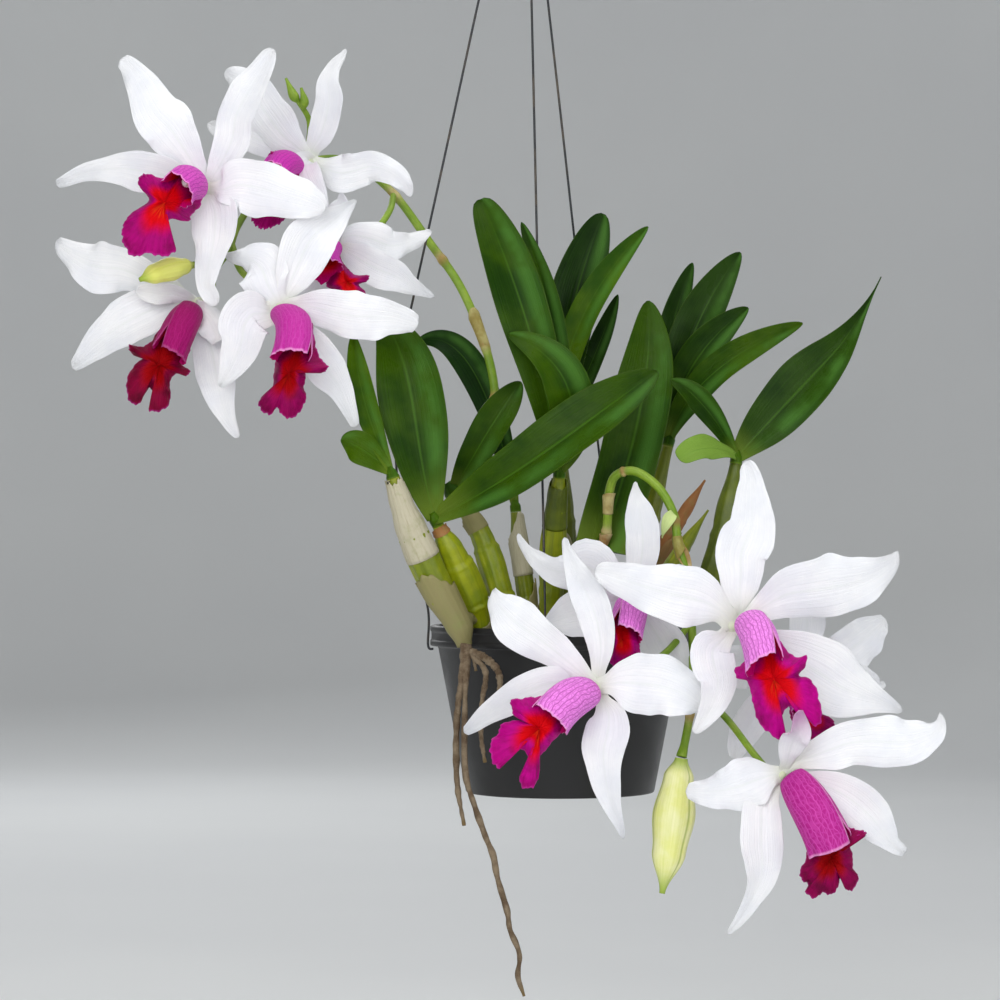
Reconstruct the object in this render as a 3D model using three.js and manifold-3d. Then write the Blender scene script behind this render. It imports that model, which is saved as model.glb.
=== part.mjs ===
// A potted orchid hybrid in a hanging pot: a clump of pseudobulbs with strap leaves, two flower
// stalks with five white blooms each, long aerial roots, and a plain pot on three wires and a hook.
// Millimetres, +Z up, +Y away from the viewer. The tables below are measured from the middle of
// the pot's rim; the whole plant is then moved so that the origin is the inside of the hook's top.
import * as THREE from 'three';
import { mergeVertices } from 'three/addons/utils/BufferGeometryUtils.js';
import Module from 'manifold-3d';

const wasm = await Module();
wasm.setup();

// Driving dimensions

const GAP = 0.35;

const POT_RIM_RADIUS = 52;
const POT_BASE_RADIUS = 39.5;
const POT_HEIGHT = 70;
const POT_WALL = 1.5;
const RIM_BAND_HEIGHT = 8.5;
const RIM_BAND_STEP = 2.5;
const MEDIUM_TOP = -5;

const WIRE_RADIUS = 0.5;
const FERRULE = { x: -14.7, y: 0, bottom: 344, height: 13, radius: 4.2 };
const HOOK_ROD_RADIUS = 1.4;
const HOOK_SHANK = 24;
const HOOK_BEND_RADIUS = 10;
const HOOK_TOP = FERRULE.bottom + FERRULE.height + HOOK_SHANK + HOOK_BEND_RADIUS - HOOK_ROD_RADIUS;

const LEAF_THICKNESS = 1.1;
const TEPAL_THICKNESS = 0.9;
const LIP_THICKNESS = 0.9;
const STALK_RADIUS = 1.8;
const PEDICEL_RADIUS = 1.4;
const LIP_TUBE_RADIUS = 8;
const HUB_RADIUS = 3.4;
const OVARY_LENGTH = 8;

// Colours as seen on each piece

const COLOUR = {
  pot: 0x1b1b1c,
  bark: 0x5d4230,
  wire: 0x3a3c3e,
  steel: 0x8d9093,
  bulb: 0x7f8c2a,
  sheath: 0xb3a79b,
  leaf: 0x2f6b1e,
  leafLight: 0x6f9a34,
  root: 0x9b8c74,
  stalk: 0x86a83a,
  bud: 0xdfe79a,
  tepal: 0xf6f7fa,
  lip: 0xb80f80,
};

const vec = (p) => new THREE.Vector3(p[0], p[1], p[2]);

// Solids: closed skins, their joins and cuts

// A closed skin over rings of equal length. On a blade the second half of each ring is the under
// face; its squares are split the other way, so that both faces crease alike.
function skin(rings, isBlade = false) {
  const per = rings[0].length;
  const last = (rings.length - 1) * per;
  const points = rings.flat();
  const faces = [];
  for (let i = 0; i + 1 < rings.length; i += 1) {
    for (let k = 0; k < per; k += 1) {
      const a = i * per + k;
      const b = i * per + ((k + 1) % per);
      const c = b + per;
      const d = a + per;
      if (isBlade && k >= per / 2) {
        faces.push([a, b, d], [b, c, d]);
      } else {
        faces.push([a, b, c], [a, c, d]);
      }
    }
  }
  if (isBlade) {
    for (let j = 0; j < per / 2 - 1; j += 1) {
      const under = per - 1 - j;
      faces.push([j + 1, j, under], [j + 1, under, under - 1]);
      faces.push([last + j, last + j + 1, last + under]);
      faces.push([last + j + 1, last + under - 1, last + under]);
    }
  } else {
    const middle = (ring) => ring.reduce((sum, p) => sum.add(p), new THREE.Vector3())
      .multiplyScalar(1 / per);
    points.push(middle(rings[0]), middle(rings[rings.length - 1]));
    for (let k = 0; k < per; k += 1) {
      const next = (k + 1) % per;
      faces.push([points.length - 2, next, k], [points.length - 1, last + k, last + next]);
    }
  }
  return solidOf(points, faces);
}

// A solid from points and triangles, turned so that its faces point out.
function solidOf(points, faces) {
  let volume = 0;
  for (const [a, b, c] of faces) {
    volume += points[a].dot(new THREE.Vector3().crossVectors(points[b], points[c]));
  }
  const order = volume < 0 ? [0, 2, 1] : [0, 1, 2];
  const vertProperties = new Float32Array(points.flatMap((p) => [p.x, p.y, p.z]));
  const triVerts = new Uint32Array(faces.flatMap((f) => order.map((n) => f[n])));
  return new wasm.Manifold(new wasm.Mesh({ numProp: 3, vertProperties, triVerts }));
}

// A solid from one of the library's closed geometries.
function solidFrom(geometry) {
  const bare = geometry.index ? geometry : mergeVertices(geometry);
  bare.deleteAttribute('normal');
  bare.deleteAttribute('uv');
  const merged = mergeVertices(bare, 1e-4);
  const at = merged.attributes.position;
  const points = Array.from({ length: at.count }, (_, n) => (
    new THREE.Vector3().fromBufferAttribute(at, n)));
  const index = merged.index.array;
  const faces = [];
  for (let n = 0; n < index.length; n += 3) {
    const face = [index[n], index[n + 1], index[n + 2]];
    if (new Set(face).size === 3) faces.push(face);
  }
  return solidOf(points, faces);
}

const joined = (solids) => wasm.Manifold.union(solids);

// The largest connected body, without loose scraps that a cut leaves.
function mainBody(solid) {
  const bodies = solid.decompose();
  return bodies.reduce((best, body) => (body.volume() > best.volume() ? body : best));
}

// Rods: round stems of changing thickness

// Points are [x, y, z, radius]; grow thickens the rod all round, for cutting its clearance.
function rod(points, sides, rows, grow = 0) {
  const curve = new THREE.CatmullRomCurve3(points.map(vec), false, 'centripetal');
  const rings = [];
  let normal = new THREE.Vector3(0.31, 0.87, 0.38);
  for (let i = 0; i <= rows; i += 1) {
    const t = i / rows;
    const along = t * (points.length - 1);
    const from = Math.min(Math.floor(along), points.length - 2);
    const blend = THREE.MathUtils.smoothstep(along - from, 0, 1);
    const radius = THREE.MathUtils.lerp(points[from][3], points[from + 1][3], blend) + grow;
    const tangent = curve.getTangent(t);
    const centre = curve.getPoint(t);
    if (grow > 0 && (i === 0 || i === rows)) {
      centre.addScaledVector(tangent, i === 0 ? -grow : grow);
    }
    normal = normal.clone().addScaledVector(tangent, -normal.dot(tangent)).normalize();
    const side = new THREE.Vector3().crossVectors(tangent, normal);
    rings.push(Array.from({ length: sides }, (_, k) => {
      const turn = (2 * Math.PI * k) / sides;
      return centre.clone()
        .addScaledVector(normal, radius * Math.cos(turn))
        .addScaledVector(side, radius * Math.sin(turn));
    }));
  }
  return skin(rings);
}

// Blades: leaves, sepals, petals and the lip's front lobe

// Half width along the blade as a share of its widest: it swells from the neck to the widest
// place, then closes to the tip; a higher sharp draws the tip out.
function outline(t, b) {
  if (t < b.widest) {
    return b.neck + (1 - b.neck) * Math.sin((Math.PI / 2) * (t / b.widest));
  }
  return Math.cos((Math.PI / 2) * ((t - b.widest) / (1 - b.widest))) ** b.sharp;
}

// The middle surface of a blade at t along it and s across it, from -1 to 1:
// centre(t) = base + (tip - base) t + 4 t (1 - t) bow + 6.75 t t (1 - t) bend,
// lift(t, s) = cup h s s + fold h |s| + wave s s sin(2 pi waves t + phase) sin(pi t).
function bladeSurface(b) {
  const base = vec(b.base);
  const tip = vec(b.tip);
  const bow = vec(b.bow ?? [0, 0, 0]);
  const bend = vec(b.bend ?? [0, 0, 0]);
  const centre = (t) => base.clone().lerp(tip, t)
    .addScaledVector(bow, 4 * t * (1 - t))
    .addScaledVector(bend, 6.75 * t * t * (1 - t));
  return (t, s) => {
    const tangent = centre(t + 1e-3).sub(centre(t - 1e-3)).normalize();
    const side = new THREE.Vector3().crossVectors(tangent, vec(b.face)).normalize();
    const normal = new THREE.Vector3().crossVectors(side, tangent);
    const turn = THREE.MathUtils.degToRad((b.twist ?? 0) * t + (b.roll ?? 0));
    side.applyAxisAngle(tangent, turn);
    normal.applyAxisAngle(tangent, turn);
    const half = Math.max((b.width / 2) * outline(t, b), 0.35);
    const phase = b.phase + (s > 0 ? 2.1 : 0);
    const swing = Math.sin(2 * Math.PI * b.waves * t + phase) * Math.sin(Math.PI * Math.min(t, 1));
    const lift = half * (b.cup * s * s + b.fold * Math.abs(s)) + b.wave * s * s * swing;
    return centre(t)
      .addScaledVector(side, half * s)
      .addScaledVector(normal, lift)
      .addScaledVector(tangent, -(b.notch ?? 0) * (1 - Math.abs(s)) * t ** 6);
  };
}

function blade(b) {
  const surface = bladeSurface(b);
  const rings = [];
  for (let i = 0; i <= b.rows; i += 1) {
    const t = (i / b.rows) * 0.985;
    const upper = [];
    const under = [];
    for (let j = 0; j <= b.cols; j += 1) {
      const s = -1 + (2 * j) / b.cols;
      const across = surface(t, s + 0.02).sub(surface(t, s - 0.02));
      const along = surface(t + 0.005, s).sub(surface(t - 0.005, s));
      const normal = new THREE.Vector3().crossVectors(across, along).normalize();
      const point = surface(t, s);
      upper.push(point.clone().addScaledVector(normal, b.thick / 2));
      under.unshift(point.clone().addScaledVector(normal, -b.thick / 2));
    }
    rings.push([...upper, ...under]);
  }
  return skin(rings, true);
}

// Leaves: leathery straps, shallowly folded along the midrib

const LEAF = {
  rows: 6, cols: 2, widest: 0.48, neck: 0.24, sharp: 0.68, cup: 0.05, fold: 0.16,
  wave: 0.5, waves: 1.4, phase: 0.6, thick: LEAF_THICKNESS, face: [0, -1, 0.25],
};

// Pseudobulbs: [x, y, z, radius] from the foot to the neck under the leaf

const BULBS = {
  old: [[-39.6, -44.6, -7, 2.8], [-42, -45, 1, 5.2], [-48, -46, 15, 7], [-56, -49.5, 34, 6.8],
    [-63.5, -53, 50, 5.2], [-68.6, -55, 61.5, 2.8]],
  leftFront: [[-33.4, -29, -8, 3], [-34.5, -30, 3, 4.2], [-39, -35.3, 15, 5.4],
    [-45.5, -41.5, 30, 5], [-50.6, -46, 42.4, 2.5]],
  leftBack: [[-18.6, -24, -8, 3], [-20, -24.2, 3, 4.2], [-28.5, -25, 22, 5.3],
    [-36.5, -25, 39, 4.6], [-42.4, -25, 52.4, 2.6]],
  leftInner: [[-13.4, -12, -8, 2.6], [-14, -12, 10, 3.9], [-17, -12, 32, 3.6],
    [-18.6, -12, 47.5, 2.3]],
  middle: [[-4, -20, -8, 3], [-4.2, -20.4, 6, 4.6], [-3.4, -26, 32, 5.4], [-1.6, -35, 54, 3.8],
    [-1, -38, 62, 2.5]],
  rear: [[3.4, 8, -8, 2.8], [3, 8, 8, 4.2], [1.6, 7, 42, 4.8], [0, 6, 77.5, 2.5]],
  front: [[12.6, -28.6, -8, 3], [13.2, -29, 4, 4.8], [14.8, -29.6, 18, 4.6],
    [16, -30, 27.6, 2.8]],
  rightRear: [[30, 15, -8, 2.6], [30.6, 15.2, 8, 4], [38, 17, 44, 4.4], [46, 18, 75.5, 2.5]],
  rightBrown: [[33.2, 4.6, -8, 2.4], [34.6, 5, 8, 3.2], [44.3, 5, 33.5, 3.4], [53, 5, 48, 3],
    [61.2, 5, 60.9, 1.6]],
  rightGreen: [[33.6, -14, -8, 2.4], [36, -13, 8, 3.2], [51, -6.5, 32, 3.2],
    [62, -5, 48.3, 1.6]],
  right: [[41, -13, -8, 2.6], [43.5, -13.6, 2, 3.6], [58, -16, 13, 4.4], [65, -17, 27, 5.8],
    [70, -17, 48, 5.6], [72.8, -16, 67.5, 2.6]],
};

const CREEPING_STEMS = {
  left: [[-13.6, -12, 2, 2.2], [-19.2, -24, 2.2, 2.6], [-33.8, -29.4, 3, 2.8],
    [-38.4, -37.6, 4, 2.6], [-41.5, -42.6, 1.5, 2.8]],
  middle: [[13, -28.8, 2, 2.2], [-4, -20.2, 2, 2.6], [3.2, 8, 2, 2.2]],
  right: [[30.4, 15, 2, 2.2], [33.8, 4.7, 2, 2.4], [34.8, -13.4, 2, 2.4], [42.6, -13.4, 2, 2.4]],
};

const bulb = (name, grow) => rod(BULBS[name], 7, 4, grow);
const creeping = (name, grow) => rod(CREEPING_STEMS[name], 6, 5, grow);

const bulbGroup = (names, stem, grow = 0) => joined([
  ...names.map((name) => bulb(name, grow)), creeping(stem, grow)]);

const LEFT_BULBS = ['leftFront', 'leftBack', 'leftInner'];
const MIDDLE_BULBS = ['middle', 'rear', 'front'];
const RIGHT_BULBS = ['rightRear', 'rightBrown', 'rightGreen', 'right'];

const oldBulb = bulb('old');
const oldBulbRoom = bulb('old', GAP);
const leftBulbs = mainBody(bulbGroup(LEFT_BULBS, 'left').subtract(oldBulbRoom));
const middleBulbs = bulbGroup(MIDDLE_BULBS, 'middle');
const rightBulbs = bulbGroup(RIGHT_BULBS, 'right');
const bulbRoom = joined([bulbGroup(LEFT_BULBS, 'left', GAP), bulbGroup(MIDDLE_BULBS, 'middle', GAP),
  bulbGroup(RIGHT_BULBS, 'right', GAP)]);

// Leaf sets, each from a collar that sits on the neck of its pseudobulb

function leafSet(name, leaves, collar = 2.6) {
  const [below, neck] = BULBS[name].slice(-2);
  const up = vec(neck).sub(vec(below)).normalize();
  const at = (reach) => vec(neck).addScaledVector(up, GAP + 0.2 + reach).toArray();
  const sheath = rod([
    [...at(0), neck[3]], [...at(collar), collar], [...at(2.2 * collar), 0.5 * collar]], 6, 2);
  const blades = leaves.map((leaf) => blade({ ...LEAF, base: at(collar), ...leaf }));
  return joined([sheath, ...blades]);
}

const LEAVES = {
  old: leafSet('old', [
    { tip: [-84.8, -53, 120.3], width: 10, bow: [-3, 0, 0], fold: 0.5 },
    { tip: [-89.6, -60, 76.5], width: 13, bow: [-2, 0, 3], rows: 5, fold: 0.3 },
  ], 2.2),
  leftFront: leafSet('leftFront', [
    { tip: [38.6, -57, 104.6], width: 24.5, bow: [4, -12, -1.5], bend: [0, -2, 2], roll: -14,
      wave: 0.9, cols: 4 },
    { tip: [-74, -40, 128], width: 27, bow: [-2, -3, 4], bend: [5, 0, 0], cols: 4 },
  ]),
  leftBack: leafSet('leftBack', [
    { tip: [-16.5, -32, 101.2], width: 15, bow: [1, -3, 3] },
  ], 3.9),
  leftInner: leafSet('leftInner', [
    { tip: [-60.5, 12, 119], width: 13, bow: [5, 4, 14], bend: [0, 0, 6] },
  ], 2.3),
  middle: leafSet('middle', [
    { tip: [-33.2, -36, 178.5], width: 19.5, bow: [7, -13.5, 0] },
    { tip: [-21.9, -58, 119.7], width: 18.5, bow: [12, -9, 0], bend: [3, 0, 3] },
    { tip: [-16.4, -31, 167], width: 11, bow: [6, -11.5, 0] },
  ]),
  rear: leafSet('rear', [
    { tip: [18.7, 17, 174.1], width: 21, bow: [-5, 1, 0] },
    { tip: [37.4, 8, 168], width: 12.5, bow: [-11, -2, 3], bend: [1, 0, 0], fold: 0.35 },
    { tip: [24.9, 18, 139.8], width: 9, bow: [1, 8, 0] },
  ]),
  front: leafSet('front', [
    { tip: [36.5, -12, 135.7], width: 25, bow: [3, 2, 0], bend: [2.5, 0, 0], cols: 4 },
  ], 4.2),
  rightRear: leafSet('rightRear', [
    { tip: [77.3, 22, 158], width: 19, bow: [-6, 2, 2] },
    { tip: [57.4, 33, 154.3], width: 12.5, bow: [-5, 4, 0] },
    { tip: [79.6, 6, 133.6], width: 16, bow: [-7, -2, 3] },
    { tip: [102.1, 0, 126.8], width: 13.5, bow: [-10, -4, 3] },
  ]),
  right: leafSet('right', [
    { tip: [134.2, -8, 146], width: 23.5, bow: [-4, -3, -6], bend: [-2, 0, -3] },
    { tip: [45.1, -26, 102.1], width: 10, bow: [0, -4, 5], rows: 7, fold: 0.4 },
    { tip: [48.3, -38, 69], width: 11.5, bow: [0, -3, 4], rows: 6, fold: 0.5, roll: 20 },
  ]),
};

// Blooms: the hub's place, the way the bloom faces, its five sepals and petals by their tips
// from the hub, and its lip by the mouth of its tube and the end of its front lobe.

const SEPAL = {
  rows: 5, cols: 2, widest: 0.42, neck: 0.26, sharp: 0.86, cup: 0, fold: 0.16, step: -0.8,
  wave: 0.9, waves: 1.3, phase: 0.4, thick: TEPAL_THICKNESS,
};
const PETAL = {
  rows: 5, cols: 4, widest: 0.5, neck: 0.16, sharp: 0.68, cup: -0.1, fold: 0.1, step: 0.7,
  wave: 1.6, waves: 1.8, phase: 1.1, thick: TEPAL_THICKNESS,
};

const BLOOMS = [
  {
    hub: [-143.5, -62, 178.5], face: [-0.35, -0.9, -0.2],
    tepals: [
      { ...SEPAL, tip: [27.5, -12, 54.1], width: 18, bow: [-2, 0, 0] },
      { ...PETAL, tip: [-35.9, 3, 52.9], width: 20, bow: [2.4, 0, 0] },
      { ...PETAL, tip: [47.6, -13, -13.7], width: 23, bow: [1, 0, 5] },
      { ...SEPAL, tip: [-63.4, 14, 2], width: 17, bow: [0, 0, 6.4] },
      { ...SEPAL, tip: [3.2, -5, -48], width: 20, bow: [-2, -2, 0] },
    ],
    lip: { mouth: [-14.5, -24, -5], tip: [-23, -31, -29], width: 24 },
  },
  {
    hub: [-104.1, -18, 192.9], face: [-0.3, -0.95, 0.1],
    tepals: [
      { ...PETAL, tip: [-36.5, 8, 38.2], width: 18.5, bow: [2, 0, 2] },
      { ...SEPAL, tip: [14.5, 2, 47.8], width: 13.5, bow: [0, 0, 0], twist: 35 },
      { ...PETAL, tip: [42.8, -4, -17], width: 15.5, bow: [0, -2, 7], bend: [0, 0, 2.5] },
      { ...SEPAL, tip: [7, -26, -12.5], width: 15, bow: [3, 0, 3] },
      { ...SEPAL, tip: [-44, 12, 17.4], width: 14, bow: [0, 0, -3] },
    ],
    lip: { mouth: [-12.5, -27, -3.3], tip: [-20, -33, -26], width: 22 },
  },
  {
    hub: [-149.5, -48, 132.2], face: [-0.4, -0.85, -0.25],
    tepals: [
      { ...PETAL, tip: [-57.1, 14, 26.3], width: 20, bow: [0, 0, 0], bend: [0, 0, -2] },
      { ...SEPAL, tip: [-22, -10, 3], width: 12, bow: [0, 0, 1.5], rows: 5 },
      { ...SEPAL, tip: [-51.8, 12, -26.3], width: 18.5, bow: [0, 0, 6] },
      { ...SEPAL, tip: [17.8, -4, -54.6], width: 18.5, bow: [-1, 0, 0] },
      { ...PETAL, tip: [13.6, -12, -9.5], width: 13, bow: [1, -1, 1], rows: 5 },
    ],
    lip: { mouth: [-11, -23, -21], tip: [-18.2, -28, -43.3], width: 21 },
  },
  {
    hub: [-113.8, -66, 129.8], face: [0.05, -0.95, -0.3],
    tepals: [
      { ...SEPAL, tip: [30.6, 4, 43.5], width: 18, bow: [1, 0, -2] },
      { ...PETAL, tip: [-23, 12, 20.9], width: 17, bow: [0, 2, 2] },
      { ...SEPAL, tip: [-23.4, 3, -31.8], width: 18.5, bow: [-2, 0, 2], wave: 1.6 },
      { ...PETAL, tip: [56, -4, -7.2], width: 19, bow: [0, 0, 3] },
      { ...SEPAL, tip: [29.8, 8, -48.3], width: 14.5, bow: [4.5, 0, 0] },
    ],
    lip: { mouth: [5.6, -24, -21], tip: [3.2, -26, -44], width: 19 },
  },
  {
    hub: [-93.4, -26, 158.7], face: [-0.65, -0.75, 0.1],
    tepals: [
      { ...PETAL, tip: [39.7, 8, 5.4], width: 15, bow: [0, 0, 3] },
      { ...SEPAL, tip: [40.9, -3, -22.3], width: 14, bow: [0, 0, 0] },
      { ...SEPAL, tip: [1.5, -6, 20], width: 13, bow: [3, 0, 0], rows: 5 },
      { ...PETAL, tip: [-17, 22, 12], width: 15, bow: [0, 3, 2], cols: 2 },
      { ...SEPAL, tip: [-12, 8, -34], width: 15, bow: [0, 0, 0] },
    ],
    lip: { mouth: [1.5, -20, -12], tip: [11, -24, -17.5], width: 17 },
  },
  {
    hub: [13.2, -92, -21.5], face: [-0.4, -0.9, -0.1],
    tepals: [
      { ...PETAL, tip: [-40.8, 9, 38], width: 21.5, bow: [-2.5, 0, -4], bend: [0, 0, -2] },
      { ...SEPAL, tip: [-13.1, 3, 59.4], width: 14, bow: [4, 0, 0] },
      { ...PETAL, tip: [41.6, -6, -4.8], width: 22.5, bow: [0, 0, 2.5], sharp: 0.45 },
      { ...SEPAL, tip: [-53.4, 14, -19], width: 16.5, bow: [0, 0, 6] },
      { ...SEPAL, tip: [9.5, 0, -60.6], width: 17.5, bow: [0, 0, 0], bend: [-1.6, 0, 0] },
    ],
    lip: { mouth: [-19.8, -21, -13.9], tip: [-34, -26, -32.5], width: 26 },
  },
  {
    hub: [27.4, -58, 12], face: [-0.35, -0.92, -0.15],
    tepals: [
      { ...PETAL, tip: [-44.9, -6, 27.1], width: 18.5, bow: [0, -2, -5], bend: [0, 0, -2.5] },
      { ...SEPAL, tip: [2.4, 2, 47.4], width: 15.5, bow: [2.6, 0, 0] },
      { ...SEPAL, tip: [24.3, 16, -30.4], width: 19, bow: [3, 4, 3] },
      { ...SEPAL, tip: [-31, -4, -9.5], width: 20, bow: [0, -2, 2] },
      { ...PETAL, tip: [32, 4, 8], width: 18, bow: [0, 0, 2], cols: 2 },
    ],
    lip: { mouth: [-4, -26, -9], tip: [-15, -28, -26], width: 21 },
  },
  {
    hub: [66.5, -100, 2.9], face: [0.25, -0.93, -0.25],
    tepals: [
      { ...SEPAL, tip: [3.9, 2, 64.2], width: 22, bow: [3, 0, 0], cols: 4, wave: 1.5 },
      { ...PETAL, tip: [-54.7, -4, 20.9], width: 21.5, bow: [0, 0, 1] },
      { ...PETAL, tip: [65.8, 8, 28.7], width: 25, bow: [0, 0, 2], sharp: 0.5 },
      { ...SEPAL, tip: [68.1, 8, -34.6], width: 26, bow: [-2, 2, 1], cols: 4, sharp: 0.6 },
      { ...SEPAL, tip: [-15.8, -6, -42.5], width: 18, bow: [4, 0, 0], bend: [2, 0, 0] },
    ],
    lip: { mouth: [12.6, -27, -12.5], tip: [22, -25, -43], width: 27 },
  },
  {
    hub: [95.8, -64, -20.1], face: [0.2, -0.95, -0.1],
    tepals: [
      { ...PETAL, tip: [35.5, 4, 25.4], width: 17, bow: [0, 0, 2], cols: 2 },
      { ...SEPAL, tip: [35.5, 6, -2], width: 14, bow: [0, 0, 2] },
      { ...SEPAL, tip: [-26.5, 2, -34], width: 13, bow: [-3, 0, 2] },
      { ...SEPAL, tip: [4, 6, 40], width: 14, bow: [0, 0, 0] },
      { ...PETAL, tip: [-38, 8, 8], width: 16, bow: [0, 0, 2], cols: 2 },
    ],
    lip: { mouth: [1, -20, -10], tip: [2, -21, -21.5], width: 15 },
  },
  {
    hub: [84.5, -118, -54.5], face: [0.15, -0.97, 0.12],
    tepals: [
      { ...SEPAL, tip: [3.9, -31, 27.2], width: 15, bow: [-0.5, -3, -2] },
      { ...PETAL, tip: [61.9, 5, 23.3], width: 21, bow: [0, 0, -1.5], bend: [0, 0, -2], sharp: 0.5 },
      { ...SEPAL, tip: [47.8, 2, -30], width: 17, bow: [2.5, 0, 4.5] },
      { ...PETAL, tip: [-38.1, 4, -6.6], width: 18, bow: [0, 0, 1] },
      { ...SEPAL, tip: [-21, 0, -62.2], width: 16.5, bow: [3, 0, 0], bend: [3.5, 0, 0] },
    ],
    lip: { mouth: [18.7, -12, -29.2], tip: [19.5, -13, -48.5], width: 24,
      under: [-0.15, 0.9, -0.4] },
  },
];

// The lip's own frame: along its tube, towards its underside (where its front lobe bends,
// unless the lip gives it), and across.
function lipFrame(bloom) {
  const hub = vec(bloom.hub);
  const mouth = hub.clone().add(vec(bloom.lip.mouth));
  const axis = mouth.clone().sub(hub).normalize();
  const start = hub.clone().addScaledVector(axis, HUB_RADIUS + 0.2);
  const under = bloom.lip.under ? vec(bloom.lip.under)
    : vec(bloom.lip.tip).sub(vec(bloom.lip.mouth));
  under.addScaledVector(axis, -under.dot(axis)).normalize();
  const across = new THREE.Vector3().crossVectors(axis, under);
  return { hub, mouth, axis, start, under, across };
}

const TUBE_SIDES = 8;
const TUBE_SKIN = [[0, 0.3], [0.26, 0.8], [0.65, 1], [1, 1.1]];
const TUBE_MOUTH_SLANT = 3;

// The side lobes of the lip rolled to a tube round the column. It opens at its mouth, which
// slants and flares to both sides; a plug of the same form cuts its room in the petals.
function lipTube(bloom, grow = 0) {
  const f = lipFrame(bloom);
  const scale = bloom.lip.width / 23;
  const ring = (t, share, inset) => Array.from({ length: TUBE_SIDES }, (_, k) => {
    const turn = (2 * Math.PI * k) / TUBE_SIDES;
    const flare = 1 + 0.34 * t ** 8 * Math.abs(Math.sin(turn)) ** 3;
    const radius = LIP_TUBE_RADIUS * scale * share * flare - inset + grow;
    return f.start.clone().lerp(f.mouth, t)
      .addScaledVector(f.under, -2.2 * 4 * t * (1 - t) + 0.94 * radius * Math.cos(turn))
      .addScaledVector(f.across, radius * Math.sin(turn))
      .addScaledVector(f.axis, TUBE_MOUTH_SLANT * t * t * Math.cos(turn) + (t > 0 ? grow : -grow));
  });
  const rings = TUBE_SKIN.map(([t, share]) => ring(t, share, 0));
  if (grow === 0) {
    rings.push(ring(1, 1.1, LIP_THICKNESS), ring(0.55, 0.9, LIP_THICKNESS));
  }
  return skin(rings);
}

// The ruffled front lobe, from inside the tube's underside, out of its mouth and bent down.
function lipLobe(bloom, thick = LIP_THICKNESS) {
  const f = lipFrame(bloom);
  const scale = bloom.lip.width / 23;
  const base = f.start.clone().lerp(f.mouth, 0.72)
    .addScaledVector(f.under, LIP_TUBE_RADIUS * scale * 0.94 * 0.93 - 1.9);
  const tip = f.hub.clone().add(vec(bloom.lip.tip));
  const face = f.axis.clone().multiplyScalar(0.75).addScaledVector(f.under, -0.66);
  const bow = f.axis.clone().multiplyScalar(4.5);
  return blade({
    base: base.toArray(), tip: tip.toArray(), bow: bow.toArray(), face: face.toArray(),
    width: bloom.lip.width, rows: 5, cols: 4, widest: 0.64, neck: 0.42, sharp: 0.42, cup: -0.22,
    fold: 0.05, wave: 2.4, waves: 2.2, phase: 0.2, notch: 4, thick,
  });
}

const lip = (bloom) => joined([lipTube(bloom), lipLobe(bloom)]);
const lipRoom = (bloom) => joined([lipTube(bloom, GAP), lipLobe(bloom, LIP_THICKNESS + 2 * GAP)]);

// Sepals and petals joined at the hub, with the ovary behind, and room for the lip.
function perianth(bloom) {
  const hub = vec(bloom.hub);
  const face = vec(bloom.face).normalize();
  const blades = bloom.tepals.map((tepal) => {
    const out = vec(tepal.tip).normalize();
    return blade({
      ...tepal,
      face: bloom.face,
      base: hub.clone().addScaledVector(out, 2).addScaledVector(face, tepal.step).toArray(),
      tip: hub.clone().add(vec(tepal.tip)).toArray(),
    });
  });
  const front = hub.clone().addScaledVector(face, 2.6);
  const back = hub.clone().addScaledVector(face, -OVARY_LENGTH);
  const core = rod([
    [...front.toArray(), 1.6], [...bloom.hub, HUB_RADIUS], [...back.toArray(), 1.6]], 6, 2);
  return joined([core, ...blades]);
}

const cutPerianth = (bloom) => mainBody(perianth(bloom).subtract(lipRoom(bloom)));

// Flower stalks with a pedicel to the back of each bloom

function pedicel(number, from, via) {
  const bloom = BLOOMS[number - 1];
  const back = vec(bloom.face).normalize().multiplyScalar(-1);
  const end = vec(bloom.hub).addScaledVector(back, OVARY_LENGTH + GAP);
  const near = end.clone().addScaledVector(back, 6);
  return [from, ...via, near.toArray(), end.toArray()]
    .map((p, n, all) => [p[0], p[1], p[2], n === all.length - 1 ? 1.6 : PEDICEL_RADIUS]);
}

const LEFT_STALK = [
  [-44.1, -25, 56.3, 1.7], [-38, -15, 72, STALK_RADIUS], [-28, -3, 92, STALK_RADIUS],
  [-29, 0, 108, STALK_RADIUS], [-41.2, 5, 141, 1.8], [-54.7, 8, 161, 1.8], [-72.5, 9, 184.2, 1.7],
  [-90.5, 8, 196, 1.6], [-110, 6, 194, 1.6], [-124, -8, 182, 1.5], [-134, -20, 166, 1.5],
  [-137, -30, 154, 1.4],
];
const LEFT_TWIG = [[-107, 6, 195, 1.3], [-105.5, 3, 212, 1.2], [-110, 0, 220, 1.1]];
const LEFT_SMALL_BUDS = [
  [[-109.5, 0, 219.5, 1], [-111.5, -1, 222, 2.1], [-115, -2, 229.5, 0.6]],
  [[-108, 0, 216.5, 0.9], [-107.2, -1, 219.5, 1.9], [-108.6, -2, 225.5, 0.6]],
];
const LEFT_PEDICELS = [
  pedicel(1, [-119, -3, 187.5], [[-128, -22, 188]]),
  pedicel(2, [-88, 8, 195.5], []),
  pedicel(3, [-136.5, -28, 156], [[-143, -30, 146]]),
  pedicel(4, [-136, -26, 158], [[-131, -38, 146]]),
  pedicel(5, [-70, 9, 182], [[-72, -1, 173]]),
];
const LEFT_BUD_STALK = [
  [-136, -26, 159, 1.3], [-140, -40, 151, 1.3], [-145.2, -50, 148.8, 1.3],
  [-149.5, -55.4, 147.8, 1.4],
];
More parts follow.
